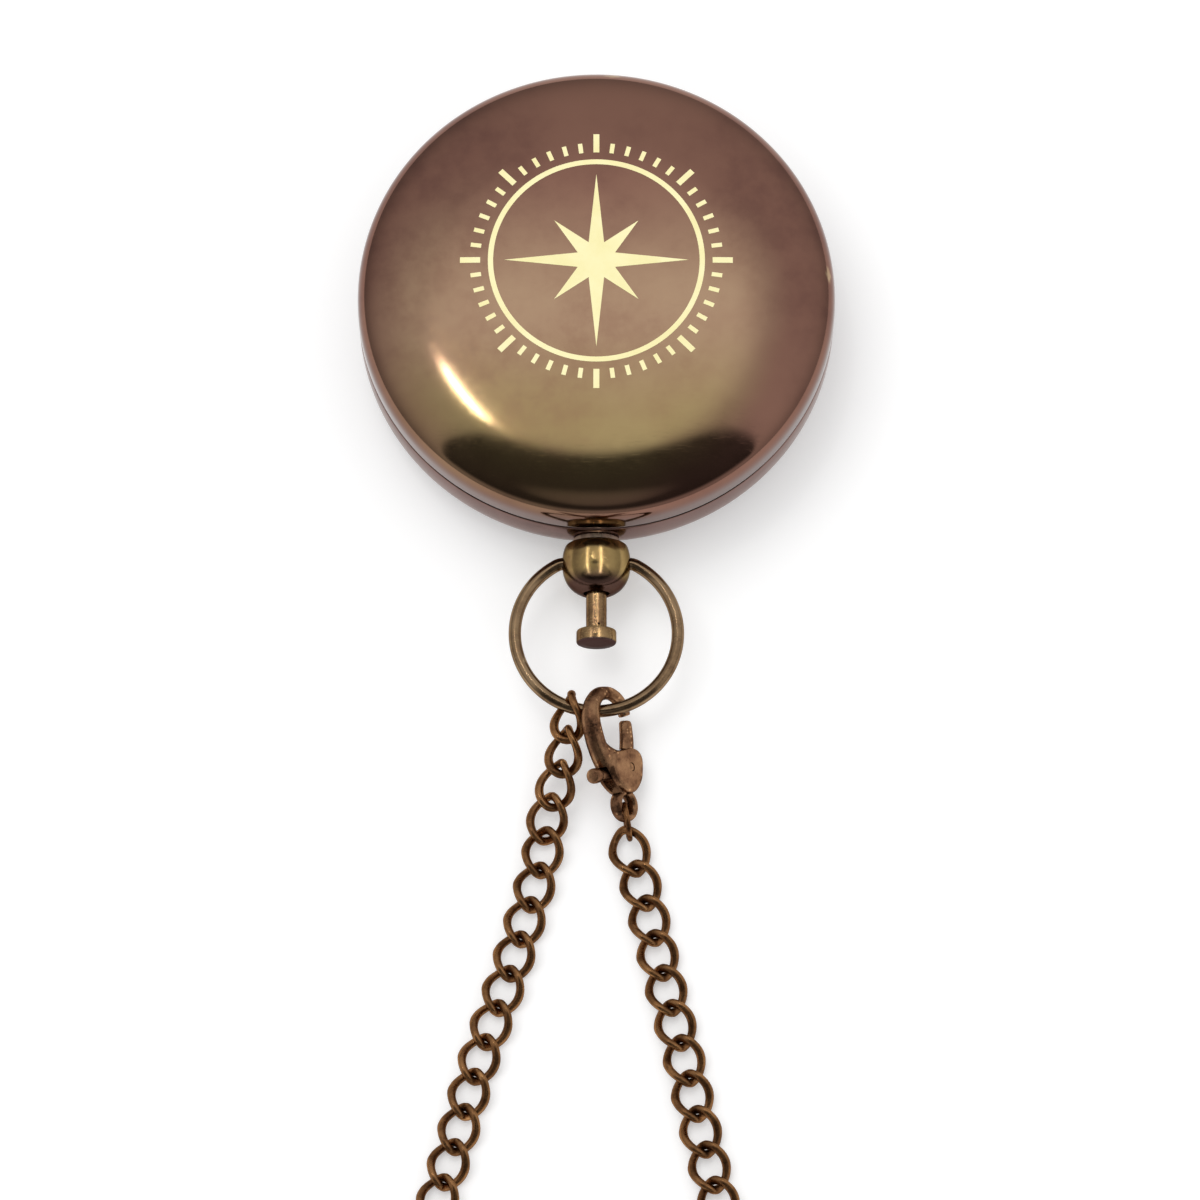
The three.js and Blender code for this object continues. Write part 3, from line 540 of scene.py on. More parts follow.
_, lid_rim, lid_crown = upright("lid_shell")
seam_height = (base_rim + lid_rim) / 2
hinge = pivots["lid_open"]
pendant_height = pivots["bow_swing"].z


def rounded_rim(outer, inner, height, up):
    """A half round over the edge of a sheet, from its outer wall to its inner wall."""
    middle = (outer + inner) / 2
    half = (outer - inner) / 2
    turns = [math.radians(22.5 * i) for i in range(9)]
    return [
        (middle + half * math.cos(turn), height + up * rim_round * (math.sin(turn) - 1))
        for turn in turns
    ]


notch_reach = 1.25
notch_half = math.sqrt(case_radius ** 2 - (hinge.y + 0.1) ** 2)


def hinge_notch():
    return box_between(
        (-notch_half, hinge.y - 5, seam_height - notch_reach),
        (notch_half, case_radius + 1, seam_height + notch_reach))


floor_reach = case_radius - base_corner
outside = [(1, 0), (floor_reach * 0.5, 0), (floor_reach * 0.9, 0)]
outside += arc(floor_reach, base_corner, base_corner, -90, 0, 20)
inside = arc(floor_reach, base_corner, base_corner - sheet_wall, 0, -90, 12)
inside += [(floor_reach * 0.5, sheet_wall), (1, sheet_wall), (0, sheet_wall)]
rim = rounded_rim(case_radius, case_radius - sheet_wall, base_rim, 1)
base = turned(outside + rim + inside, case_sides, first_filled=True)
neck_bore = 2.25
pendant_hole = rod_between(
    (0, -case_radius - 1, pendant_height), (0, -hinge.y + 6, pendant_height), neck_bore)
base = soften(cut(base, hinge_notch(), pendant_hole))
finished(base, "base_pan", "case", "antique_brass", case_brass, "base_case")
print("base faces", len(base.data.polygons))

# %% [markdown]
# ## The lid
# The lid is a pressed dome. It is almost flat in the middle, and falls away in a broad round
# shoulder, which is what bends the reflections of the room into bands along its edge.

# %% Lid
inlay_rise = 0.03
lid_top = lid_crown - inlay_rise
skirt_top = 8.9
dome_power = 4.2


def dome(inset, steps):
    """A profile between a circle and a square: the higher the power, the tighter the shoulder."""
    reach, rise = case_radius - inset, lid_top - inset - skirt_top
    points = []
    for i in range(1, steps + 1):
        turn = math.radians(90 * i / steps)
        out, up = math.sin(turn) ** (2 / dome_power), math.cos(turn) ** (2 / dome_power)
        points.append((reach * out, skirt_top + rise * up))
    return points


outside = dome(0, 44)
rim = rounded_rim(case_radius, case_radius - sheet_wall, lid_rim, -1)
inside = dome(sheet_wall, 22)[::-1] + [(0, lid_top - sheet_wall)]
lid = turned(outside + rim + inside, case_sides, first_filled=True)
lid = soften(cut(lid, hinge_notch()))
print("lid faces", len(lid.data.polygons))

# %% [markdown]
# ## The inlay
# The lid's middle carries a pale enamel inlay with a thin dark edge. It is a compass rose of eight
# points inside a ring of ticks. The star starts as a circle of sixteen corners, of which every other
# one is drawn in. An inset gives each shape its dark edge, and Shrinkwrap lays all of it on the dome.

# %% Inlay materials
def enamel(name, tone, shade, roughness):
    material, tree, shader, place = new_material(name)
    clouds = mapped(tree, noise_at(tree, place, 260, 4), 0.3, 0.7)
    speckle = mapped(tree, noise_at(tree, place, 2600, 3), 0.3, 0.7, roughness, roughness + 0.15)
    pores = noise_at(tree, place, 5200, 2)
    surfaced(tree, shader, blended(tree, clouds, shade, tone), speckle, pores, 0.2, 0.000004)
    return material


cream_enamel = enamel("cream enamel", rgb(253, 245, 190), rgb(247, 237, 174), 0.32)
dark_enamel = enamel("dark edge enamel", rgb(58, 42, 34), rgb(44, 30, 24), 0.35)
edge_width = 0.17


def edged(piece):
    """The piece's flat faces get a dark strip along their outline."""
    piece.data.materials.append(cream_enamel)
    piece.data.materials.append(dark_enamel)
    in_edit(piece)
    bpy.ops.mesh.inset(thickness=edge_width, use_boundary=True)
    bpy.ops.mesh.select_all(action="INVERT")
    piece.active_material_index = 1
    bpy.ops.object.material_slot_assign()
    bpy.ops.object.mode_set(mode="OBJECT")
    return piece


# %% Flat shapes
def star(long_reach, short_reach, waist):
    piece = added(bpy.ops.mesh.primitive_circle_add, vertices=16, radius=long_reach, fill_type="NGON")
    for numbers, reach in (((2, 6, 10, 14), short_reach), (range(1, 16, 2), waist)):
        in_edit(piece, selected=False)
        bpy.ops.object.mode_set(mode="OBJECT")
        for number in numbers:
            piece.data.vertices[number].select = True
        bpy.ops.object.mode_set(mode="EDIT")
        resized(reach / long_reach)
        bpy.ops.object.mode_set(mode="OBJECT")
    return piece


def flat_ring(outer, inner):
    piece = added(bpy.ops.mesh.primitive_circle_add, vertices=128, radius=outer)
    in_edit(piece)
    extruded(0, 0, 0)
    resized(inner / outer)
    bpy.ops.object.mode_set(mode="OBJECT")
    return piece


def outwards(mark, reach, turn):
    """Puts a flat mark at a reach from the middle, turned clockwise from +Y, its top pointing out."""
    mark.location.x = reach * math.sin(turn)
    mark.location.y = reach * math.cos(turn)
    mark.rotation_euler.z = -turn
    return settle(mark)


def flat_bar(width, length, reach, turn):
    bar = added(bpy.ops.mesh.primitive_plane_add, size=1)
    bar.scale = (width, length, 1)
    return outwards(bar, reach, turn)


# %% Rose and ticks
rose_centre_y = 2.6
tick_foot = 12.1
shapes = [edged(star(long_reach=9.6, short_reach=6.2, waist=2.1)), edged(flat_ring(11.3, 10.75))]
for step in range(48):
    width, length = (0.62, 2.1) if step % 6 == 0 else (0.46, 1.1)
    shapes.append(edged(flat_bar(width, length, tick_foot + length / 2, math.radians(7.5 * step))))
rose = joined(shapes)
rose.location = (0, rose_centre_y, lid_top + 2)
settle(rose)
in_edit(rose)
bpy.ops.mesh.quads_convert_to_tris()
bpy.ops.mesh.subdivide(number_cuts=3)
bpy.ops.mesh.select_all(action="SELECT")
bpy.ops.mesh.quads_convert_to_tris()
bpy.ops.object.mode_set(mode="OBJECT")
modified(rose, "SHRINKWRAP", target=lid, wrap_method="PROJECT", use_project_z=True,
         use_negative_direction=True, use_positive_direction=False, offset=0)
modified(rose, "SOLIDIFY", thickness=inlay_rise * 2, offset=0)
finished(soften(rose, 40), "lid_rose", "lid", "antique_brass", None)
finished(lid, "lid_dome", "lid", "antique_brass", lid_brass, "lid_shell")
print("rose faces", len(rose.data.polygons))

# %% [markdown]
# ## The pendant
# The neck is a turned bush with a collar. The ball is bored for the push stem and for the two ends of
# the bow ring. All of it is turned about the pendant's own axis, and then swung out to the front.

# %% Neck
def turned_outwards(profile, sides, **ends):
    """A piece turned about the pendant's axis, which runs towards -Y, from [(radius, distance out)]."""
    piece = turned(profile, sides, **ends)
    piece.rotation_euler.x = math.radians(90)
    piece.location.z = pendant_height
    return settle(piece)


def pendant_part(node):
    """A pendant node's radius, and how far out from the case's middle it starts and ends."""
    low, high = span(node)
    return high.x, -high.y, -low.y


stem_bore = 1.35
neck_radius = neck_bore - 0.15
collar_radius, neck_in, collar_out = pendant_part("pendant_neck")
collar_in = case_radius + 0.06
neck = turned_outwards([
    (stem_bore, neck_in), (neck_radius, neck_in), (neck_radius, collar_in),
    (collar_radius - 0.05, collar_in), (collar_radius, collar_in + 0.05),
    (collar_radius, collar_out - 0.06), (collar_radius - 0.06, collar_out), (stem_bore, collar_out),
    (stem_bore, neck_in),
], 72, closed=True)
finished(soften(neck), "neck_bush", "case", "antique_brass", neck_brass_painted_light, "pendant_neck")
print("collar radius", round(collar_radius, 2))

# %% Ball
ball_radius = 3.56
barrel_power = 2.35
ball_centre = -pivots["bow_swing"].y
_, ball_near, ball_far = pendant_part("pendant_ball")
lip = 0.12
shell = []
for step in range(61):
    angle = math.radians(-44 + 110 * step / 60)
    out, rise = math.cos(angle), math.sin(angle)
    reach = ball_radius * (abs(out) ** barrel_power + abs(rise) ** barrel_power) ** (-1 / barrel_power)
    point = (reach * out, ball_centre + reach * rise)
    if point[0] > stem_bore + lip and point[1] > ball_near + 0.08:
        shell.append(point)
ball = turned_outwards([
    (stem_bore, ball_near), (shell[0][0] - lip, ball_near), *shell, (stem_bore, shell[-1][1] - lip),
    (stem_bore, ball_near),
], 96, closed=True)

ring_low, ring_high = span("bow_ring")
wire_radius = ring_high.z - pendant_height
stub_end = 2.21
for side in (-1, 1):
    ear = (side * (stub_end - 0.3), -ball_centre, pendant_height)
    cut(ball, rod_between(ear, (side * 6, -ball_centre, pendant_height), wire_radius + 0.16, 32))
finished(soften(ball), "pendant_knob", "case", "antique_brass", pendant_brass, "pendant_ball")
print("ball faces", len(ball.data.polygons))

# %% Push stem
spring_room = 1.3
stem_radius, stem_in, stem_out = pendant_part("push_stem")
stem_in += spring_room
stem = turned_outwards([
    (stem_radius - 0.1, stem_in), (stem_radius, stem_in + 0.1), (stem_radius, ball_far + 0.3),
    (stem_radius, stem_out - 0.9), (stem_radius - 0.1, stem_out), (0, stem_out),
], 64, first_filled=True)
pin_at = Vector((0.25, -34.5, pendant_height))
cut(stem, rod_between(pin_at, pin_at + Vector((0, 0, 3)), 0.13, 16))
finished(soften(stem), "push_rod", "button", "antique_brass", button_brass, "push_stem")

# %% Button cap
cap_radius, cap_in, cap_out = pendant_part("button_cap")
socket_radius = stem_radius + 0.12
cap = fill_ends(turned_outwards([
    (socket_radius, cap_in + 0.6), (socket_radius, cap_in), (cap_radius - 0.18, cap_in),
    (cap_radius - 0.05, cap_in + 0.06), (cap_radius, cap_in + 0.18), (cap_radius, cap_out - 0.2),
    (cap_radius - 0.06, cap_out - 0.07), (cap_radius - 0.2, cap_out), (cap_radius * 0.5, cap_out),
    (0.1, cap_out), (0, cap_out),
], 72))
finished(soften(cap), "button_head", "button", "antique_brass", button_brass, "button_cap")
print("stem radius", round(stem_radius, 2), "cap radius", round(cap_radius, 2))

# %% [markdown]
# ## The bow ring
# The ring is one piece of round wire, bent to a circle, with its two ends turned in towards each other
# so that they sit in the ball. The wire's section is a circle that is spun round the ring's centre,
# spun again through the tight bend at each end, and drawn out into the stub.

# %% Bow ring
bow_radius = ring_high.x - wire_radius
bow_centre = ring_low.y + wire_radius + bow_radius
end_bend = 1.5
end_rise = -ball_centre - bow_centre
end_turn = math.asin((end_rise - end_bend) / (bow_radius - end_bend))


def wire_section(radius, sides, place):
    """A circle of wire that stands in the XZ plane, with all of it selected for a spin."""
    section = added(
        bpy.ops.mesh.primitive_circle_add, vertices=sides, radius=radius, location=place,
        rotation=(math.radians(90), 0, 0))
    in_edit(settle(section))
    return section


def spun(angle, steps, centre):
    """Spins what is selected about the vertical, clockwise as seen from above."""
    bpy.ops.mesh.spin(steps=steps, angle=angle, center=centre, axis=(0, 0, 1))


upper = wire_section(wire_radius, 24, (bow_radius, bow_centre, pendant_height))
spun(-end_turn, 24, (0, bow_centre, pendant_height))
bend_reach = bow_radius - end_bend
bend_at = (bend_reach * math.cos(end_turn), bow_centre + bend_reach * math.sin(end_turn), pendant_height)
spun(end_turn - math.radians(90), 8, bend_at)
extruded(stub_end - bend_at[0], 0, 0)
bpy.ops.mesh.edge_face_add()
out_of_edit(upper)
print("upper part", [round(v, 2) for v in upper.dimensions])

# %% [markdown]
# That was the right-hand part above the ring's widest place. The part below it is spun from the same
# section, and both are mirrored, so that the two ends match.

# %% Close the ring
lower = wire_section(wire_radius, 24, (bow_radius, bow_centre, pendant_height))
spun(math.radians(90), 40, (0, bow_centre, pendant_height))
out_of_edit(lower)
bow = joined([upper, lower])
modified(bow, "MIRROR", use_axis=(True, False, False), use_clip=False, merge_threshold=0.002)
finished(soften(merged(bow, 0.002), 50), "bow_wire", "bow", "antique_brass", ring_brass, "bow_ring")
print("ring faces", len(bow.data.polygons))

# %% [markdown]
# ## The lobster claw
# The claw is one casting. Its hook is a round arm that tapers to the tip, its body is a thick wedge with
# bevelled cheeks, two short arms round off its corners, and a loop at its lower end takes the jump ring.
# Each form is made alone, in the claw's own plane, and a voxel remesh melts them into one. A slot is
# then cut through the body for the trigger.

# %% Claw helpers
def rotated(axis, degrees):
    return Matrix.Rotation(math.radians(degrees), 4, axis)


claw_place = rotated("Z", 10.5) @ rotated("X", 14) @ rotated("Y", 50)
claw_place.translation = pivots["claw_swing"] + Vector((0, 0.1, 0.1))
print("claw swings at", [round(v, 3) for v in pivots["claw_swing"]])


def to_mesh(curve):
    pick(curve)
    bpy.ops.object.convert(target="MESH")
    return bpy.context.object


def tapered_arm(points, squash=1.0):
    """A round arm along [(x, y, radius)], with closed ends."""
    arm = added(bpy.ops.curve.primitive_bezier_curve_add)
    spline = arm.data.splines[0]
    spline.bezier_points.add(len(points) - 2)
    for knot, (x, y, radius) in zip(spline.bezier_points, points):
        knot.co = (x, y, 0)
        knot.radius = radius
        knot.handle_left_type = knot.handle_right_type = "AUTO"
    arm.data.bevel_depth = 1
    arm.data.bevel_resolution = 6
    arm.data.resolution_u = 10
    arm.data.use_fill_caps = True
    arm = to_mesh(arm)
    arm.scale.z = squash
    return settle(arm)


def bevelled_plate(points, sheet, bevel):
    """A plate with the outline [(x, y, kind of corner)], as thick as its sheet, its edges bevelled."""
    plate = added(bpy.ops.curve.primitive_bezier_circle_add)
    plate.data.dimensions = "2D"
    plate.data.fill_mode = "BOTH"
    spline = plate.data.splines[0]
    spline.bezier_points.add(len(points) - 4)
    for knot, (x, y, kind) in zip(spline.bezier_points, points):
        knot.co = (x, y, 0)
        knot.handle_left_type = knot.handle_right_type = kind
    plate.data.offset = -bevel
    plate.data.extrude = sheet / 2 - bevel
    plate.data.bevel_depth = bevel
    plate.data.bevel_resolution = 2
    return merged(to_mesh(plate))


def melted(pieces, voxel, passes):
    casting = joined(pieces)
    modified(casting, "REMESH", mode="VOXEL", voxel_size=voxel)
    modified(casting, "SMOOTH", factor=0.5, iterations=passes)
    return casting


# %% Claw body
sharp, soft = "VECTOR", "AUTO"
hook = tapered_arm([
    (-0.6, -7.9, 0.8), (-1.35, -6.4, 1.0), (-2.1, -4.7, 1.06), (-2.66, -2.4, 1.02), (-2.5, -0.2, 0.96),
    (-1.4, 1.26, 0.82), (0.3, 1.7, 0.7), (2.0, 1.2, 0.68), (2.9, 0.1, 0.66), (3.1, -0.92, 0.64),
])
web = tapered_arm([(-2.2, -3.9, 0.95), (-1.3, -4.75, 1.12), (0.1, -5.5, 1.15), (1.0, -6.4, 1.0)])
heel = tapered_arm([(-1.7, -5.3, 1.1), (-0.9, -6.7, 1.15), (0.1, -7.8, 1.05)])
body = bevelled_plate([
    (0.7, -8.95, soft), (-0.9, -8.2, soft), (-1.9, -6.4, soft), (-1.3, -4.5, sharp), (0.4, -4.4, soft),
    (2.6, -4.5, soft), (3.3, -5.2, soft), (3.2, -6.6, soft), (2.3, -8.2, soft),
], 2.6, 0.42)
tail = added(
    bpy.ops.mesh.primitive_torus_add, location=(0.3, -10.08, 0), major_radius=1.32, minor_radius=0.44,
    major_segments=48, minor_segments=16)
tail.scale.z = 1.65
settle(tail)
root = tapered_arm([(0.62, -9.1, 0.5), (0.8, -8.3, 0.9), (0.8, -7.4, 1.0)], 0.9)
claw = melted([hook, web, heel, body, tail, root], 0.1, 3)

pivot_x, pivot_y = 1.1, -6.3
rivet_place = Matrix.Translation((pivot_x, pivot_y, 0))
slot_half = 0.7


def rivet_hole(radius):
    return rod_between((pivot_x, pivot_y, -3), (pivot_x, pivot_y, 3), radius, 32)


cut(claw,
    box_between((-8, -8.1, -slot_half), (8, -5.9, slot_half)),
    box_between((-8, -8.7, 0.02 - slot_half), (-0.5, -7.9, slot_half - 0.02)),
    box_between((0.3, -8.1, -slot_half), (8, -3.7, slot_half)),
    rivet_hole(0.46))
claw.matrix_world = claw_place
finished(soften(claw, 40), "claw_cast", "claw", "antique_copper", claw_copper, "claw_body")
print("claw faces", len(claw.data.polygons))

# %% [markdown]
# The trigger is one lever on the rivet: a rounded gate closes the hook, and a thumb knob stands out on
# the other side. It is melted together in the same way, and then bored for the rivet. A row of boxes,
# turned one after another about the rivet, cuts the pocket that its spring lies in as it opens.

# %% Trigger
gate = tapered_arm([
    (1.25, -6.1, 0.74), (2.1, -5.0, 0.95), (2.65, -3.6, 0.92), (2.9, -2.3, 0.86), (2.98, -1.6, 0.8),
    (3.0, -1.42, 0.62),
], 0.66)
boss = rod_between((pivot_x, pivot_y, -0.55), (pivot_x, pivot_y, 0.55), 0.78)
lever = tapered_arm([(1.0, -6.5, 0.54), (-1.2, -6.66, 0.58), (-3.3, -6.66, 0.62)], 0.9)
knob = turned([
    (0.3, -0.62), (0.66, -0.5), (0.76, -0.3), (0.8, 0), (0.8, 0.4), (0.72, 0.62), (0.3, 0.72), (0, 0.72),
], 48, first_filled=True)
knob.rotation_euler.y = math.radians(-90)
knob.location = (-3.6, -6.65, 0)
settle(knob)
trigger = melted([gate, boss, lever, knob], 0.075, 3)
cut(trigger, rivet_hole(0.5))
for degrees, half in ((1, 0.42), (-5, 0.44), (-11, 0.46), (-16, 0.48), (-21, 0.5)):
    pocket = box_between((0.3, -5.85, -half), (1.08, -4.2, half))
    pocket.matrix_world = rivet_place @ rotated("Z", degrees) @ rivet_place.inverted()
    cut(trigger, pocket)
trigger.matrix_world = claw_place
finished(soften(trigger, 40), "trigger_lever", "trigger", "antique_copper", claw_copper, "claw_trigger")
print("trigger faces", len(trigger.data.polygons))

# %% Rivet and jump ring
rivet = turned([
    (0.3, -1.3), (0.4, -1.24), (0.4, 0), (0.4, 1.24), (0.3, 1.3), (0, 1.3),
], 32, first_filled=True)
rivet.matrix_world = claw_place @ rivet_place
settle(rivet)
finished(soften(rivet), "claw_pin", "claw", "antique_copper", claw_copper, "claw_rivet")

jump_low, jump_high = span("claw_jump_ring")
jump_radius = 1.8
jump_wire = 0.28
jump = wire_section(jump_wire, 20, (jump_radius, 0, 0))
spun(math.radians(356), 64, (0, 0, 0))
jump = fill_ends(out_of_edit(jump))
jump_place = rotated("Z", 10) @ rotated("Y", 90) @ rotated("Z", 60)
jump_place.translation = (jump_low + jump_high) / 2
jump.matrix_world = jump_place
finished(soften(jump, 50), "jump_wire", "tail_ring", "antique_copper", chain_copper, "claw_jump_ring")
print("jump ring faces", len(jump.data.polygons))

# %% [markdown]
# ## The curb chain
# One link is an oval of round wire, given a quarter twist end to end, so that it lies flat with its
# neighbours through it. It is made once, as a round ring drawn long and twisted with the Simple Deform
# modifier, and every link of the chain is a copy of it.

# %% One link
link_length = 5.66
link_width = 4.42
chain_wire = 0.91
link_twist = math.radians(-45)
link_pattern = added(bpy.ops.curve.primitive_bezier_circle_add, radius=1)
link_pattern.scale = ((link_length - chain_wire) / 2, (link_width - chain_wire) / 2, 1)
settle(link_pattern)
for knot in link_pattern.data.splines[0].bezier_points:
    knot.radius = 1
link_pattern.data.bevel_depth = chain_wire / 2
link_pattern.data.bevel_resolution = 3
link_pattern.data.resolution_u = 14
link_pattern = merged(to_mesh(link_pattern))
modified(link_pattern, "SIMPLE_DEFORM", deform_method="TWIST", deform_axis="X",
         angle=link_twist * 2 * link_length / (link_length - chain_wire))
soften(link_pattern, 60)
print("link faces", len(link_pattern.data.polygons), [round(v, 2) for v in link_pattern.dimensions])


# %% [markdown]
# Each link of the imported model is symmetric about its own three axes, so its corners give back its
# place exactly: their mean is its centre, and their longest and shortest spreads are its directions.

# %% Where the links lie
def link_place(node):
    corners = np.array([vertex.co for vertex in nodes[node].data.vertices]) * 1000
    centre = corners.mean(axis=0)
    axes = np.linalg.eigh(np.cov((corners - centre).T))[1]
    lengthwise, across = axes[:, 2], axes[:, 1]
    normal = np.cross(lengthwise, across)
    place = Matrix(np.column_stack((lengthwise, across, normal)).tolist()).to_4x4()
    place.translation = Vector(centre)
    return place


table_gap = 0.01


def link_copy(place):
    """A copy of the link at a place, lifted if its round wire would dip into the table."""
    link = link_pattern.copy()
    link.data = link_pattern.data.copy()
    bpy.context.scene.collection.objects.link(link)
    link.matrix_world = place
    settle(link)
    sunk = min(vertex.co.z for vertex in link.data.vertices) - table_gap
    link.location.z = max(0, -sunk)
    return settle(link)


link_names = [name for name in nodes if "_link_" in name]
for name in link_names:
    finished(link_copy(link_place(name)), name + "_wire", name, "antique_copper", chain_copper, name)
print("links", len(link_names))

# %% [markdown]
# The two strands meet in a loop beyond the picture's lower edge. Its route is a straight run from each
# strand and a round end between them. The model's loop is five runs of links, each on a body of its own.
# Every link of a run is drawn, and one more link closes the gap that the model leaves between two runs.

# %% Route of the loop
loop_radius = 18
drawn_radius = loop_radius - 0.08
joint_pitch = 3.65
least_pitch = 4.05
loop_runs = 5
open_after = 3


def strand_end(node):
    place = link_place(node)
    way = place.to_3x3().col[0] * (-1 if place.to_3x3().col[0].y > 0 else 1)
    return place.translation, Vector((way.x, way.y, 0)).normalized()


left_end, left_way = strand_end("left_link_15")
right_end, right_way = strand_end("right_link_11")
left_turn = left_end + Vector((-left_way.y, left_way.x, 0)) * loop_radius
right_turn = right_end + Vector((right_way.y, -right_way.x, 0)) * loop_radius
gap = right_turn - left_turn
crossed = left_way.x * right_way.y - left_way.y * right_way.x
loop_centre = left_turn + left_way * ((gap.x * right_way.y - gap.y * right_way.x) / crossed)
start_angle = math.atan2(-left_way.x, left_way.y)
end_angle = math.atan2(right_way.x, -right_way.y) + 2 * math.pi
bend = [
    loop_centre + Vector((math.cos(a), math.sin(a), 0)) * drawn_radius
    for a in np.linspace(start_angle, end_angle, 400)
]
route = np.array([list(left_end)] + [[p.x, p.y, left_end.z] for p in bend] + [list(right_end)])
travelled = np.concatenate(([0], np.cumsum(np.linalg.norm(np.diff(route, axis=0), axis=1))))


def loop_place(distance):
    here, ahead = [
        Vector([float(np.interp(d, travelled, route[:, axis])) for axis in range(3)])
        for d in (distance - 0.2, distance + 0.2)
    ]
    lengthwise = (ahead - here).normalized()
    side = Vector((0, 0, 1)).cross(lengthwise).normalized()
    place = Matrix((lengthwise, side, lengthwise.cross(side))).transposed().to_4x4()
    place.translation = (here + ahead) / 2
    return place


print("route", round(travelled[-1], 2))

# %% Links of the loop
jointed = (loop_runs + 2) * joint_pitch
drawn = math.floor((travelled[-1] - jointed) / least_pitch)
pitch = (travelled[-1] - jointed) / drawn
links_in_all = drawn + loop_runs
start = 0
for run in range(loop_runs):
    count = links_in_all * (run + 1) // loop_runs - links_in_all * run // loop_runs
    start += joint_pitch
    if run == open_after:
        closing = link_copy(loop_place(start))
        finished(closing, "closing_link_wire", "loop_run_3", "antique_copper", chain_copper)
        start += joint_pitch
    links = [link_copy(loop_place(start + i * pitch)) for i in range(count)]
    start += (count - 1) * pitch
    name = f"loop_run_{run + 1}"
    finished(joined(links), name + "_wire", name, "antique_copper", chain_copper, name)
    print(name, "links", count)

# %% [markdown]
# ## Inside the case
# The lid's band, the compass and the sundial only show when the lid is open. They are turned from
# polished brass, and the card under the glass is printed.

# %% Band and capsule
_, low, high = upright("lid_band")
outer, inner = 24.0, 23.4
band = turned([
    (inner, low + 0.1), (inner + 0.1, low), (outer - 0.1, low), (outer, low + 0.1), (outer, high),
    (inner, high), (inner, low + 0.1),
], 192, closed=True)
hinge_gap = box_between((-notch_half, 0, 5), (notch_half, case_radius, lid_top))
catch_window = box_between((-1.5, -case_radius, 7.85), (1.5, -15.5, 8.9))
cut(band, hinge_gap, catch_window)
finished(soften(band), "band_ring", "lid", "polished_brass", inside_brass, "lid_band")

outer, low, high = upright("capsule_ring")
inner = outer - 0.8
capsule = turned([
    (inner, low), (outer - 0.1, low), (outer, low + 0.1), (outer, high - 0.3), (outer - 0.1, high - 0.1),
    (outer - 0.3, high), (outer - 0.7, high), (inner, high - 0.1), (inner, low),
], 160, closed=True)
finished(soften(capsule), "capsule_wall", "case", "polished_brass", inside_brass, "capsule_ring")
print("band and capsule faces", len(band.data.polygons), len(capsule.data.polygons))


# %% Glass
def plain_glass(name):
    material, tree, shader, place = new_material(name, {
        "Base Color": (1, 1, 1, 1), "Transmission Weight": 1, "IOR": 1.45,
    })
    smear = mapped(tree, noise_at(tree, place, 90, 3), 0.4, 0.7, 0.01, 0.06)
    tree.links.new(smear, shader.inputs["Roughness"])
    return material


def disc(radius, low, high, low_edge, high_edge, middle, sides):
    """A round plate with bevelled edges. middle is the share of its radius where it has a ring more."""
    return turned([
        (radius * middle, low), (radius - low_edge, low), (radius, low + low_edge),
        (radius, high - high_edge), (radius - high_edge, high), (radius * middle, high), (0, high),
    ], sides, first_filled=True)


glass = disc(*upright("crystal"), low_edge=0.15, high_edge=0.2, middle=0.5, sides=160)
clear_glass = plain_glass("clear glass")
finished(soften(glass, 25), "crystal_lens", "case", "glass", clear_glass, "crystal")

# %% [markdown]
# The card carries a circle of ticks, the four quarters, and a figure at every thirty degrees. North is
# towards the pendant, as the style of the sundial above it points north.

# %% Printing
def printed(name, tone, shade):
    material, tree, shader, place = new_material(name)
    fibres = mapped(tree, noise_at(tree, place, 1500, 5, 0.7), 0.3, 0.7)
    stains = mapped(tree, noise_at(tree, place, 70, 3), 0.42, 0.75, 0, 0.6)
    aged = (shade[0] * 0.75, shade[1] * 0.66, shade[2] * 0.5, 1)
    colour = blended(tree, stains, blended(tree, fibres, shade, tone), aged)
    surfaced(tree, shader, colour, mapped(tree, fibres, 0, 1, 0.55, 0.75), fibres, 0.3, 0.00001)
    return material


card_paper = printed("card paper", rgb(238, 228, 204), rgb(228, 214, 184))
card_ink = printed("card ink", rgb(38, 30, 28), rgb(52, 42, 38))
print_rise = 0.03


def lettering(text, size, reach, turn):
    """A word whose foot faces the middle, at a reach and a turn clockwise from +Y."""
    word = added(bpy.ops.object.text_add)
    word.data.body = text
    word.data.size = size
    word.data.align_x = "CENTER"
    word.data.align_y = "CENTER"
    word.data.extrude = print_rise / 2
    word = merged(to_mesh(word), 0.0005)
    word.location.z = print_rise / 2
    return outwards(word, reach, turn)


def thick(piece):
    in_edit(piece)
    extruded(0, 0, print_rise)
    return out_of_edit(piece)


def north_turn(degrees):
    """A bearing on the dial, from north at the pendant's side, as a turn clockwise from +Y."""
    return math.radians(180 + degrees)


# %% Compass card
card_radius, card_foot, card_top = upright("compass_card")
card_top -= print_rise
card = disc(card_radius, card_foot, card_top, low_edge=0.05, high_edge=0.05, middle=0.4, sides=128)
finished(soften(card), "card_disc", "case", "dial_paper", card_paper, "compass_card")

marks = [thick(flat_ring(19.3, 19.12)), thick(flat_ring(11.2, 11.06))]
marks.append(thick(star(long_reach=9.4, short_reach=6.0, waist=1.9)))
for step in range(72):
    length = 1.7 if step % 6 == 0 else (1.2 if step % 2 == 0 else 0.7)
    marks.append(thick(flat_bar(0.2, length, 19.1 - length / 2, north_turn(5 * step))))
for step in range(12):
    if step % 3:
        marks.append(lettering(str(step * 30), 1.9, 15.9, north_turn(30 * step)))
for letter, bearing in (("N", 0), ("E", 90), ("S", 180), ("W", 270)):
    marks.append(lettering(letter, 4.2, 14, north_turn(bearing)))
card_print = joined(marks)
card_print.location.z = card_top
finished(card_print, "card_marks", "case", "dial_paper", card_ink)
print("card marks", len(card_print.data.polygons))

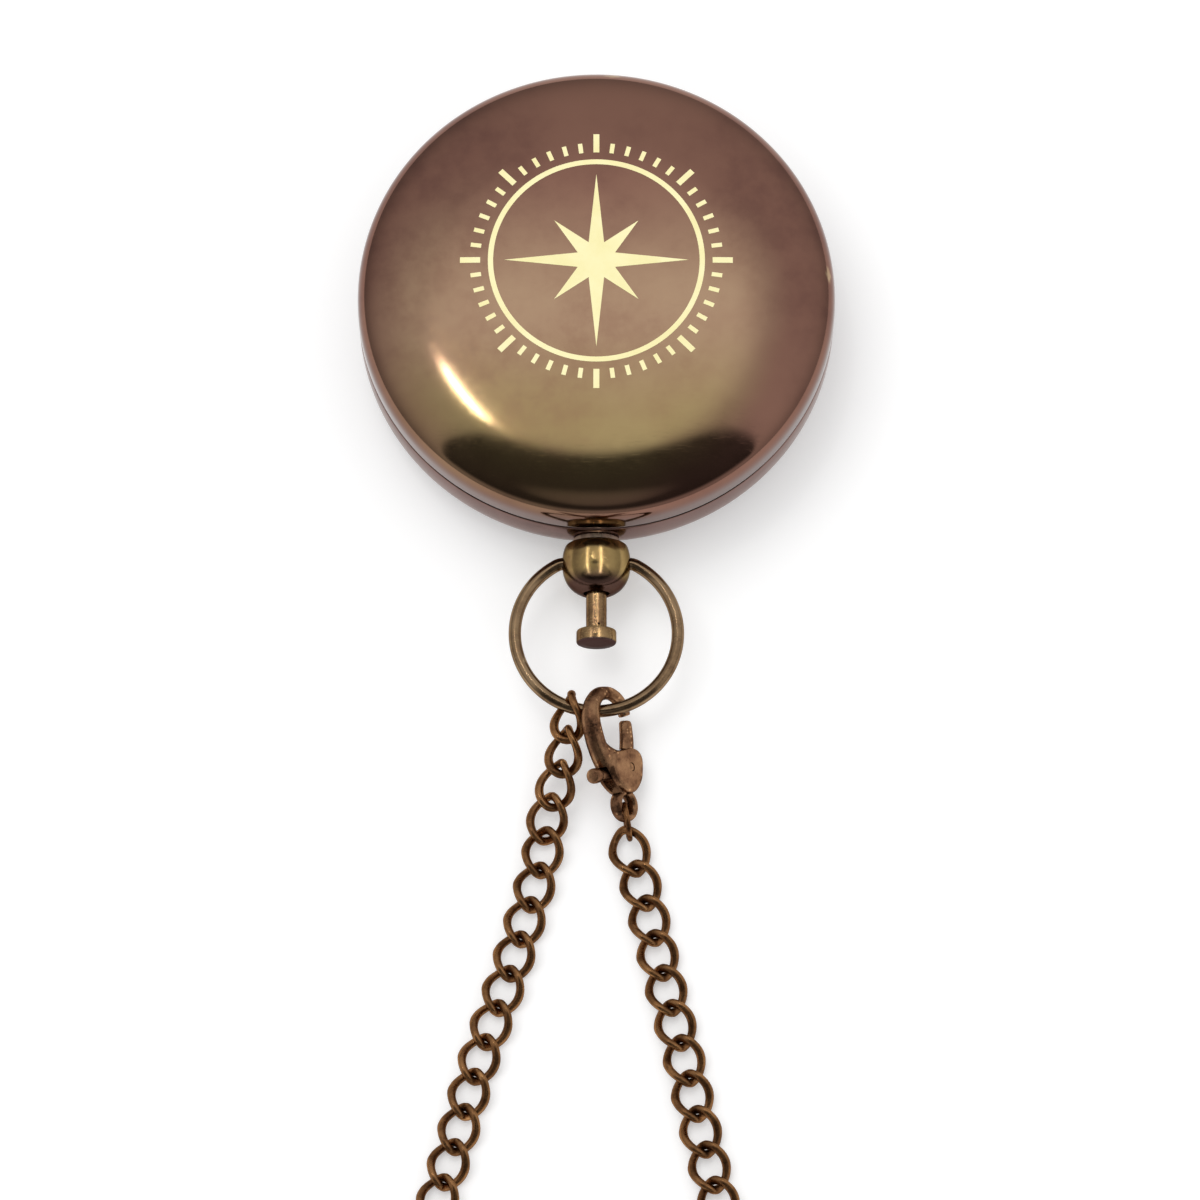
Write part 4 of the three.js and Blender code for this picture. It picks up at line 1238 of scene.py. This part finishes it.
# %% [markdown]
# The needle is a blued steel lozenge with a bare end, so that its north end is told from its south
# end. Its shape is right as it is, and it keeps the model's piece. Its hub and its post are turned.

# %% Post and hub
foot, low, high = upright("pivot_post")
post_radius = 0.5
post = turned([
    (foot - 0.05, low), (foot, low + 0.05), (foot, low + 0.4), (foot - 0.1, low + 0.5),
    (post_radius + 0.3, low + 0.52), (post_radius, low + 0.8), (post_radius, high - 0.5),
    (0.25, high - 0.25), (0, high),
], 48, first_filled=True)
finished(soften(post), "post_turned", "case", "polished_brass", inside_brass, "pivot_post")

radius, low, high = upright("needle_cap")
hub = turned([
    (0.2, low + 0.35), (0.65, low), (radius, low), (radius, low + 0.15), (radius * 0.92, low + 0.45),
    (radius * 0.72, low + 0.72), (radius * 0.45, low + 0.92), (radius * 0.2, high), (0, high),
], 48, first_filled=True)
finished(soften(hub, 50), "hub_turned", "compass_needle", "polished_brass", inside_brass, "needle_cap")
print("post and hub faces", len(post.data.polygons), len(hub.data.polygons))

# %% [markdown]
# The sundial's hour ring is a turned washer with two lugs for the gnomon's spindle. The hour lines are
# not evenly spaced: an hour's angle comes from the latitude, 40 degrees, that the style leans at. They
# run from six in the morning to six in the evening, and noon is left plain.

# %% Hour ring
_, low, lug_top = upright("hour_ring")
outer, inner, hour_top = 22.2, 15.5, 7.6
lug_reach, lug_half, lug_sheet = 17.5, 1.0, 1.0
spindle_z = pivots["gnomon_raise"].z
hours = turned([
    (inner, low + 0.1), (inner + 0.1, low), (outer - 0.1, low), (outer, low + 0.1),
    (outer, hour_top - 0.12), (outer - 0.12, hour_top), (inner + 0.15, hour_top),
    (inner, hour_top - 0.15), (inner, low + 0.1),
], 160, closed=True)
for side in (-1, 1):
    lug = box_between(
        (-lug_half, side * lug_reach - lug_sheet / 2, hour_top - 0.2),
        (lug_half, side * lug_reach + lug_sheet / 2, lug_top))
    modified(lug, "BEVEL", width=0.15, segments=3, limit_method="ANGLE")
    cut(hours, lug, how="UNION")
cut(hours, rod_between((0, -case_radius, spindle_z), (0, case_radius, spindle_z), 0.5, 32))
finished(soften(hours), "hour_washer", "case", "polished_brass", inside_brass, "hour_ring")
print("hour ring faces", len(hours.data.polygons))

# %% Hour lines
dial_latitude = math.radians(40)
marks = []
for half_hours in (*range(-12, 0), *range(1, 13)):
    whole = half_hours % 2 == 0
    sun = math.radians(7.5 * half_hours)
    turn = math.pi + math.atan2(math.sin(dial_latitude) * math.sin(sun), math.cos(sun))
    if whole:
        hour = (half_hours // 2 - 1) % 12 + 1
        marks.append(lettering(str(hour), 2.4, 19.0, turn))
    length = 1.0 if whole else 0.6
    marks.append(thick(flat_bar(0.16, length, 21.6 - length / 2, turn)))
marks += [thick(flat_ring(21.8, 21.66)), thick(flat_ring(16.4, 16.28))]
hour_print = joined(marks)
hour_print.location.z = hour_top - 0.01
finished(hour_print, "hour_marks", "case", "polished_brass", card_ink)
print("hour marks", len(hour_print.data.polygons))

# %% [markdown]
# The springs, the hinge, the needle and the gnomon are flat sheet or plain rod, whose shapes are right
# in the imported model. They keep their own solids and get their finish here.

# %% Finish the pieces that stay
def needle_material():
    material, tree, shader, place = new_material("blued needle", {"Metallic": 1})
    tip = mapped(tree, along(tree, place, "Y"), -0.0003, 0.0003)
    clouds = mapped(tree, noise_at(tree, place, 420, 4), 0.3, 0.7)
    blued = blended(tree, clouds, rgb(38, 52, 110), rgb(60, 50, 130))
    bare = blended(tree, clouds, rgb(196, 198, 202), rgb(176, 178, 184))
    gloss = mapped(tree, clouds, 0, 1, 0.22, 0.34)
    surfaced(tree, shader, blended(tree, tip, blued, bare), gloss, clouds, 0.2, 0.000003)
    return material


kept = {
    "lid_leaf": inside_brass, "base_leaf": inside_brass, "gnomon": inside_brass,
    "hinge_pin": spring_steel, "catch_spring": spring_steel, "lift_spring": spring_steel,
    "claw_spring": spring_steel, "needle": needle_material(),
}
for name, material in kept.items():
    nodes[name].data.materials.clear()
    nodes[name].data.materials.append(material)
print("kept", sorted(kept))

# %% [markdown]
# ## The studio
# The photograph was taken in a white tent: soft light from all round, a brighter patch overhead, and a
# dark opening on the camera's side, which the lid's front shoulder reflects. The tent is the world's
# background, by direction. Two lamps add a soft shadow and the small bright strip on the shoulder, and
# three panels light the pendant alone, for the bright lines that run along its ball.

# %% World
def studio_world():
    world = bpy.data.worlds.new("Studio tent")
    bpy.context.scene.world = world
    world.use_nodes = True
    tree = world.node_tree
    tree.nodes.clear()
    way = add_node(tree, "ShaderNodeTexCoord").outputs["Generated"]

    def towards(direction, low, high, to_low=0.0, to_high=1.0):
        share = on_vectors(tree, "DOT_PRODUCT", way, direction, "Value")
        return mapped(tree, share, low, high, to_low, to_high)

    tent = towards((0, 0, 1), 0.0, 0.93, 0.46, 0.82)
    overhead = towards((0, 0.28, 0.96), 0.972, 0.999, 0, 0.32)
    tent = calculated(tree, "ADD", tent, overhead)
    tent = calculated(tree, "ADD", tent, towards((1, 0, 0), -0.8, 0.8, -0.07, 0.07))
    opening = towards((0.6, -0.77, 0.22), 0.0, 0.05)
    for direction, low, high in (
        ((-0.58, -0.78, 0.22), -0.01, 0.04), ((0, -1, 0.1), -0.08, 0.04), ((0, 0, 1), 0.1, 0.5),
    ):
        opening = calculated(tree, "MULTIPLY", opening, towards(direction, low, high))
    level = calculated(tree, "MULTIPLY", tent, mapped(tree, opening, 0, 1, 1, 0.1))
    table_glow = calculated(tree, "MULTIPLY", opening, towards((0, -0.58, 0.81), 0.93, 0.995, 0, 0.18))
    level = calculated(tree, "ADD", level, table_glow)
    rays = add_node(tree, "ShaderNodeLightPath")
    seen, through = rays.outputs["Is Camera Ray"], rays.outputs["Is Transmission Ray"]
    white = calculated(tree, "MAXIMUM", seen, through)
    soft_level = add_node(tree, "ShaderNodeMix", {0: rays.outputs["Is Glossy Ray"], 2: 0.78, 3: level})
    final = add_node(tree, "ShaderNodeMix", {0: white, 2: soft_level.outputs[0], 3: 1.0})
    light = add_node(tree, "ShaderNodeBackground", {
        "Color": (1, 1, 1, 1), "Strength": final.outputs[0],
    })
    out = add_node(tree, "ShaderNodeOutputWorld")
    tree.links.new(light.outputs["Background"], out.inputs["Surface"])


studio_world()

# %% Floor
floor = added(bpy.ops.mesh.primitive_plane_add, size=6, location=(0, 0, -0.00002))
floor.name = "floor"
material, tree, shader, place = new_material("pale floor", {
    "Base Color": (0.8, 0.8, 0.8, 1), "Roughness": 0.9, "Emission Color": (1, 1, 1, 1),
})
rays = add_node(tree, "ShaderNodeLightPath")
seen = calculated(tree, "MAXIMUM", rays.outputs["Is Camera Ray"], rays.outputs["Is Glossy Ray"])
seen = calculated(tree, "MAXIMUM", seen, rays.outputs["Is Transmission Ray"])
tree.links.new(calculated(tree, "MULTIPLY", seen, 0.3), shader.inputs["Emission Strength"])
floor.data.materials.append(material)

# %% Lamps
def lamp(name, direction, distance, size, long_way, watts, shiny):
    """A panel that faces the object. long_way is where its longer side points."""
    place = Vector(direction).normalized() * distance
    bpy.ops.object.light_add(type="AREA", location=place)
    light = bpy.context.object
    light.name = name
    back = place.normalized()
    short_way = Vector(long_way).cross(back).normalized()
    light.rotation_euler = Matrix((short_way, back.cross(short_way), back)).transposed().to_euler()
    light.data.shape = "RECTANGLE"
    light.data.size, light.data.size_y = size
    light.data.energy = watts
    light.visible_glossy = shiny
    return light


lamp("soft box", (-0.35, 0.25, 1), 0.9, (0.6, 0.6), (0, 1, 0), 2.4, False)
lamp("strip lamp", (-0.188, 0.192, 0.965), 0.8, (0.011, 0.08), (-0.42, 0.9, -0.2), 0.13, True)

pendant_pieces = bpy.data.collections.new("pendant pieces")
for name in ("pendant_knob", "push_rod", "button_head", "neck_bush"):
    pendant_pieces.objects.link(bpy.data.objects[name])
for name, direction, size, long_way, watts in (
    ("fill card", (0, -0.5, 0.87), (0.42, 0.9), (1, 0, 0), 0.55),
    ("left tube", (-0.5, -0.1, 0.86), (0.05, 0.7), (0, 1, 0), 0.5),
    ("right tube", (0.27, -0.1, 0.96), (0.06, 0.7), (0, 1, 0), 0.85),
):
    panel = lamp(name, direction, 0.5, size, long_way, watts, True)
    panel.light_linking.receiver_collection = pendant_pieces
bpy.context.scene.view_settings.view_transform = "Standard"

bpy.data.objects.remove(link_pattern)
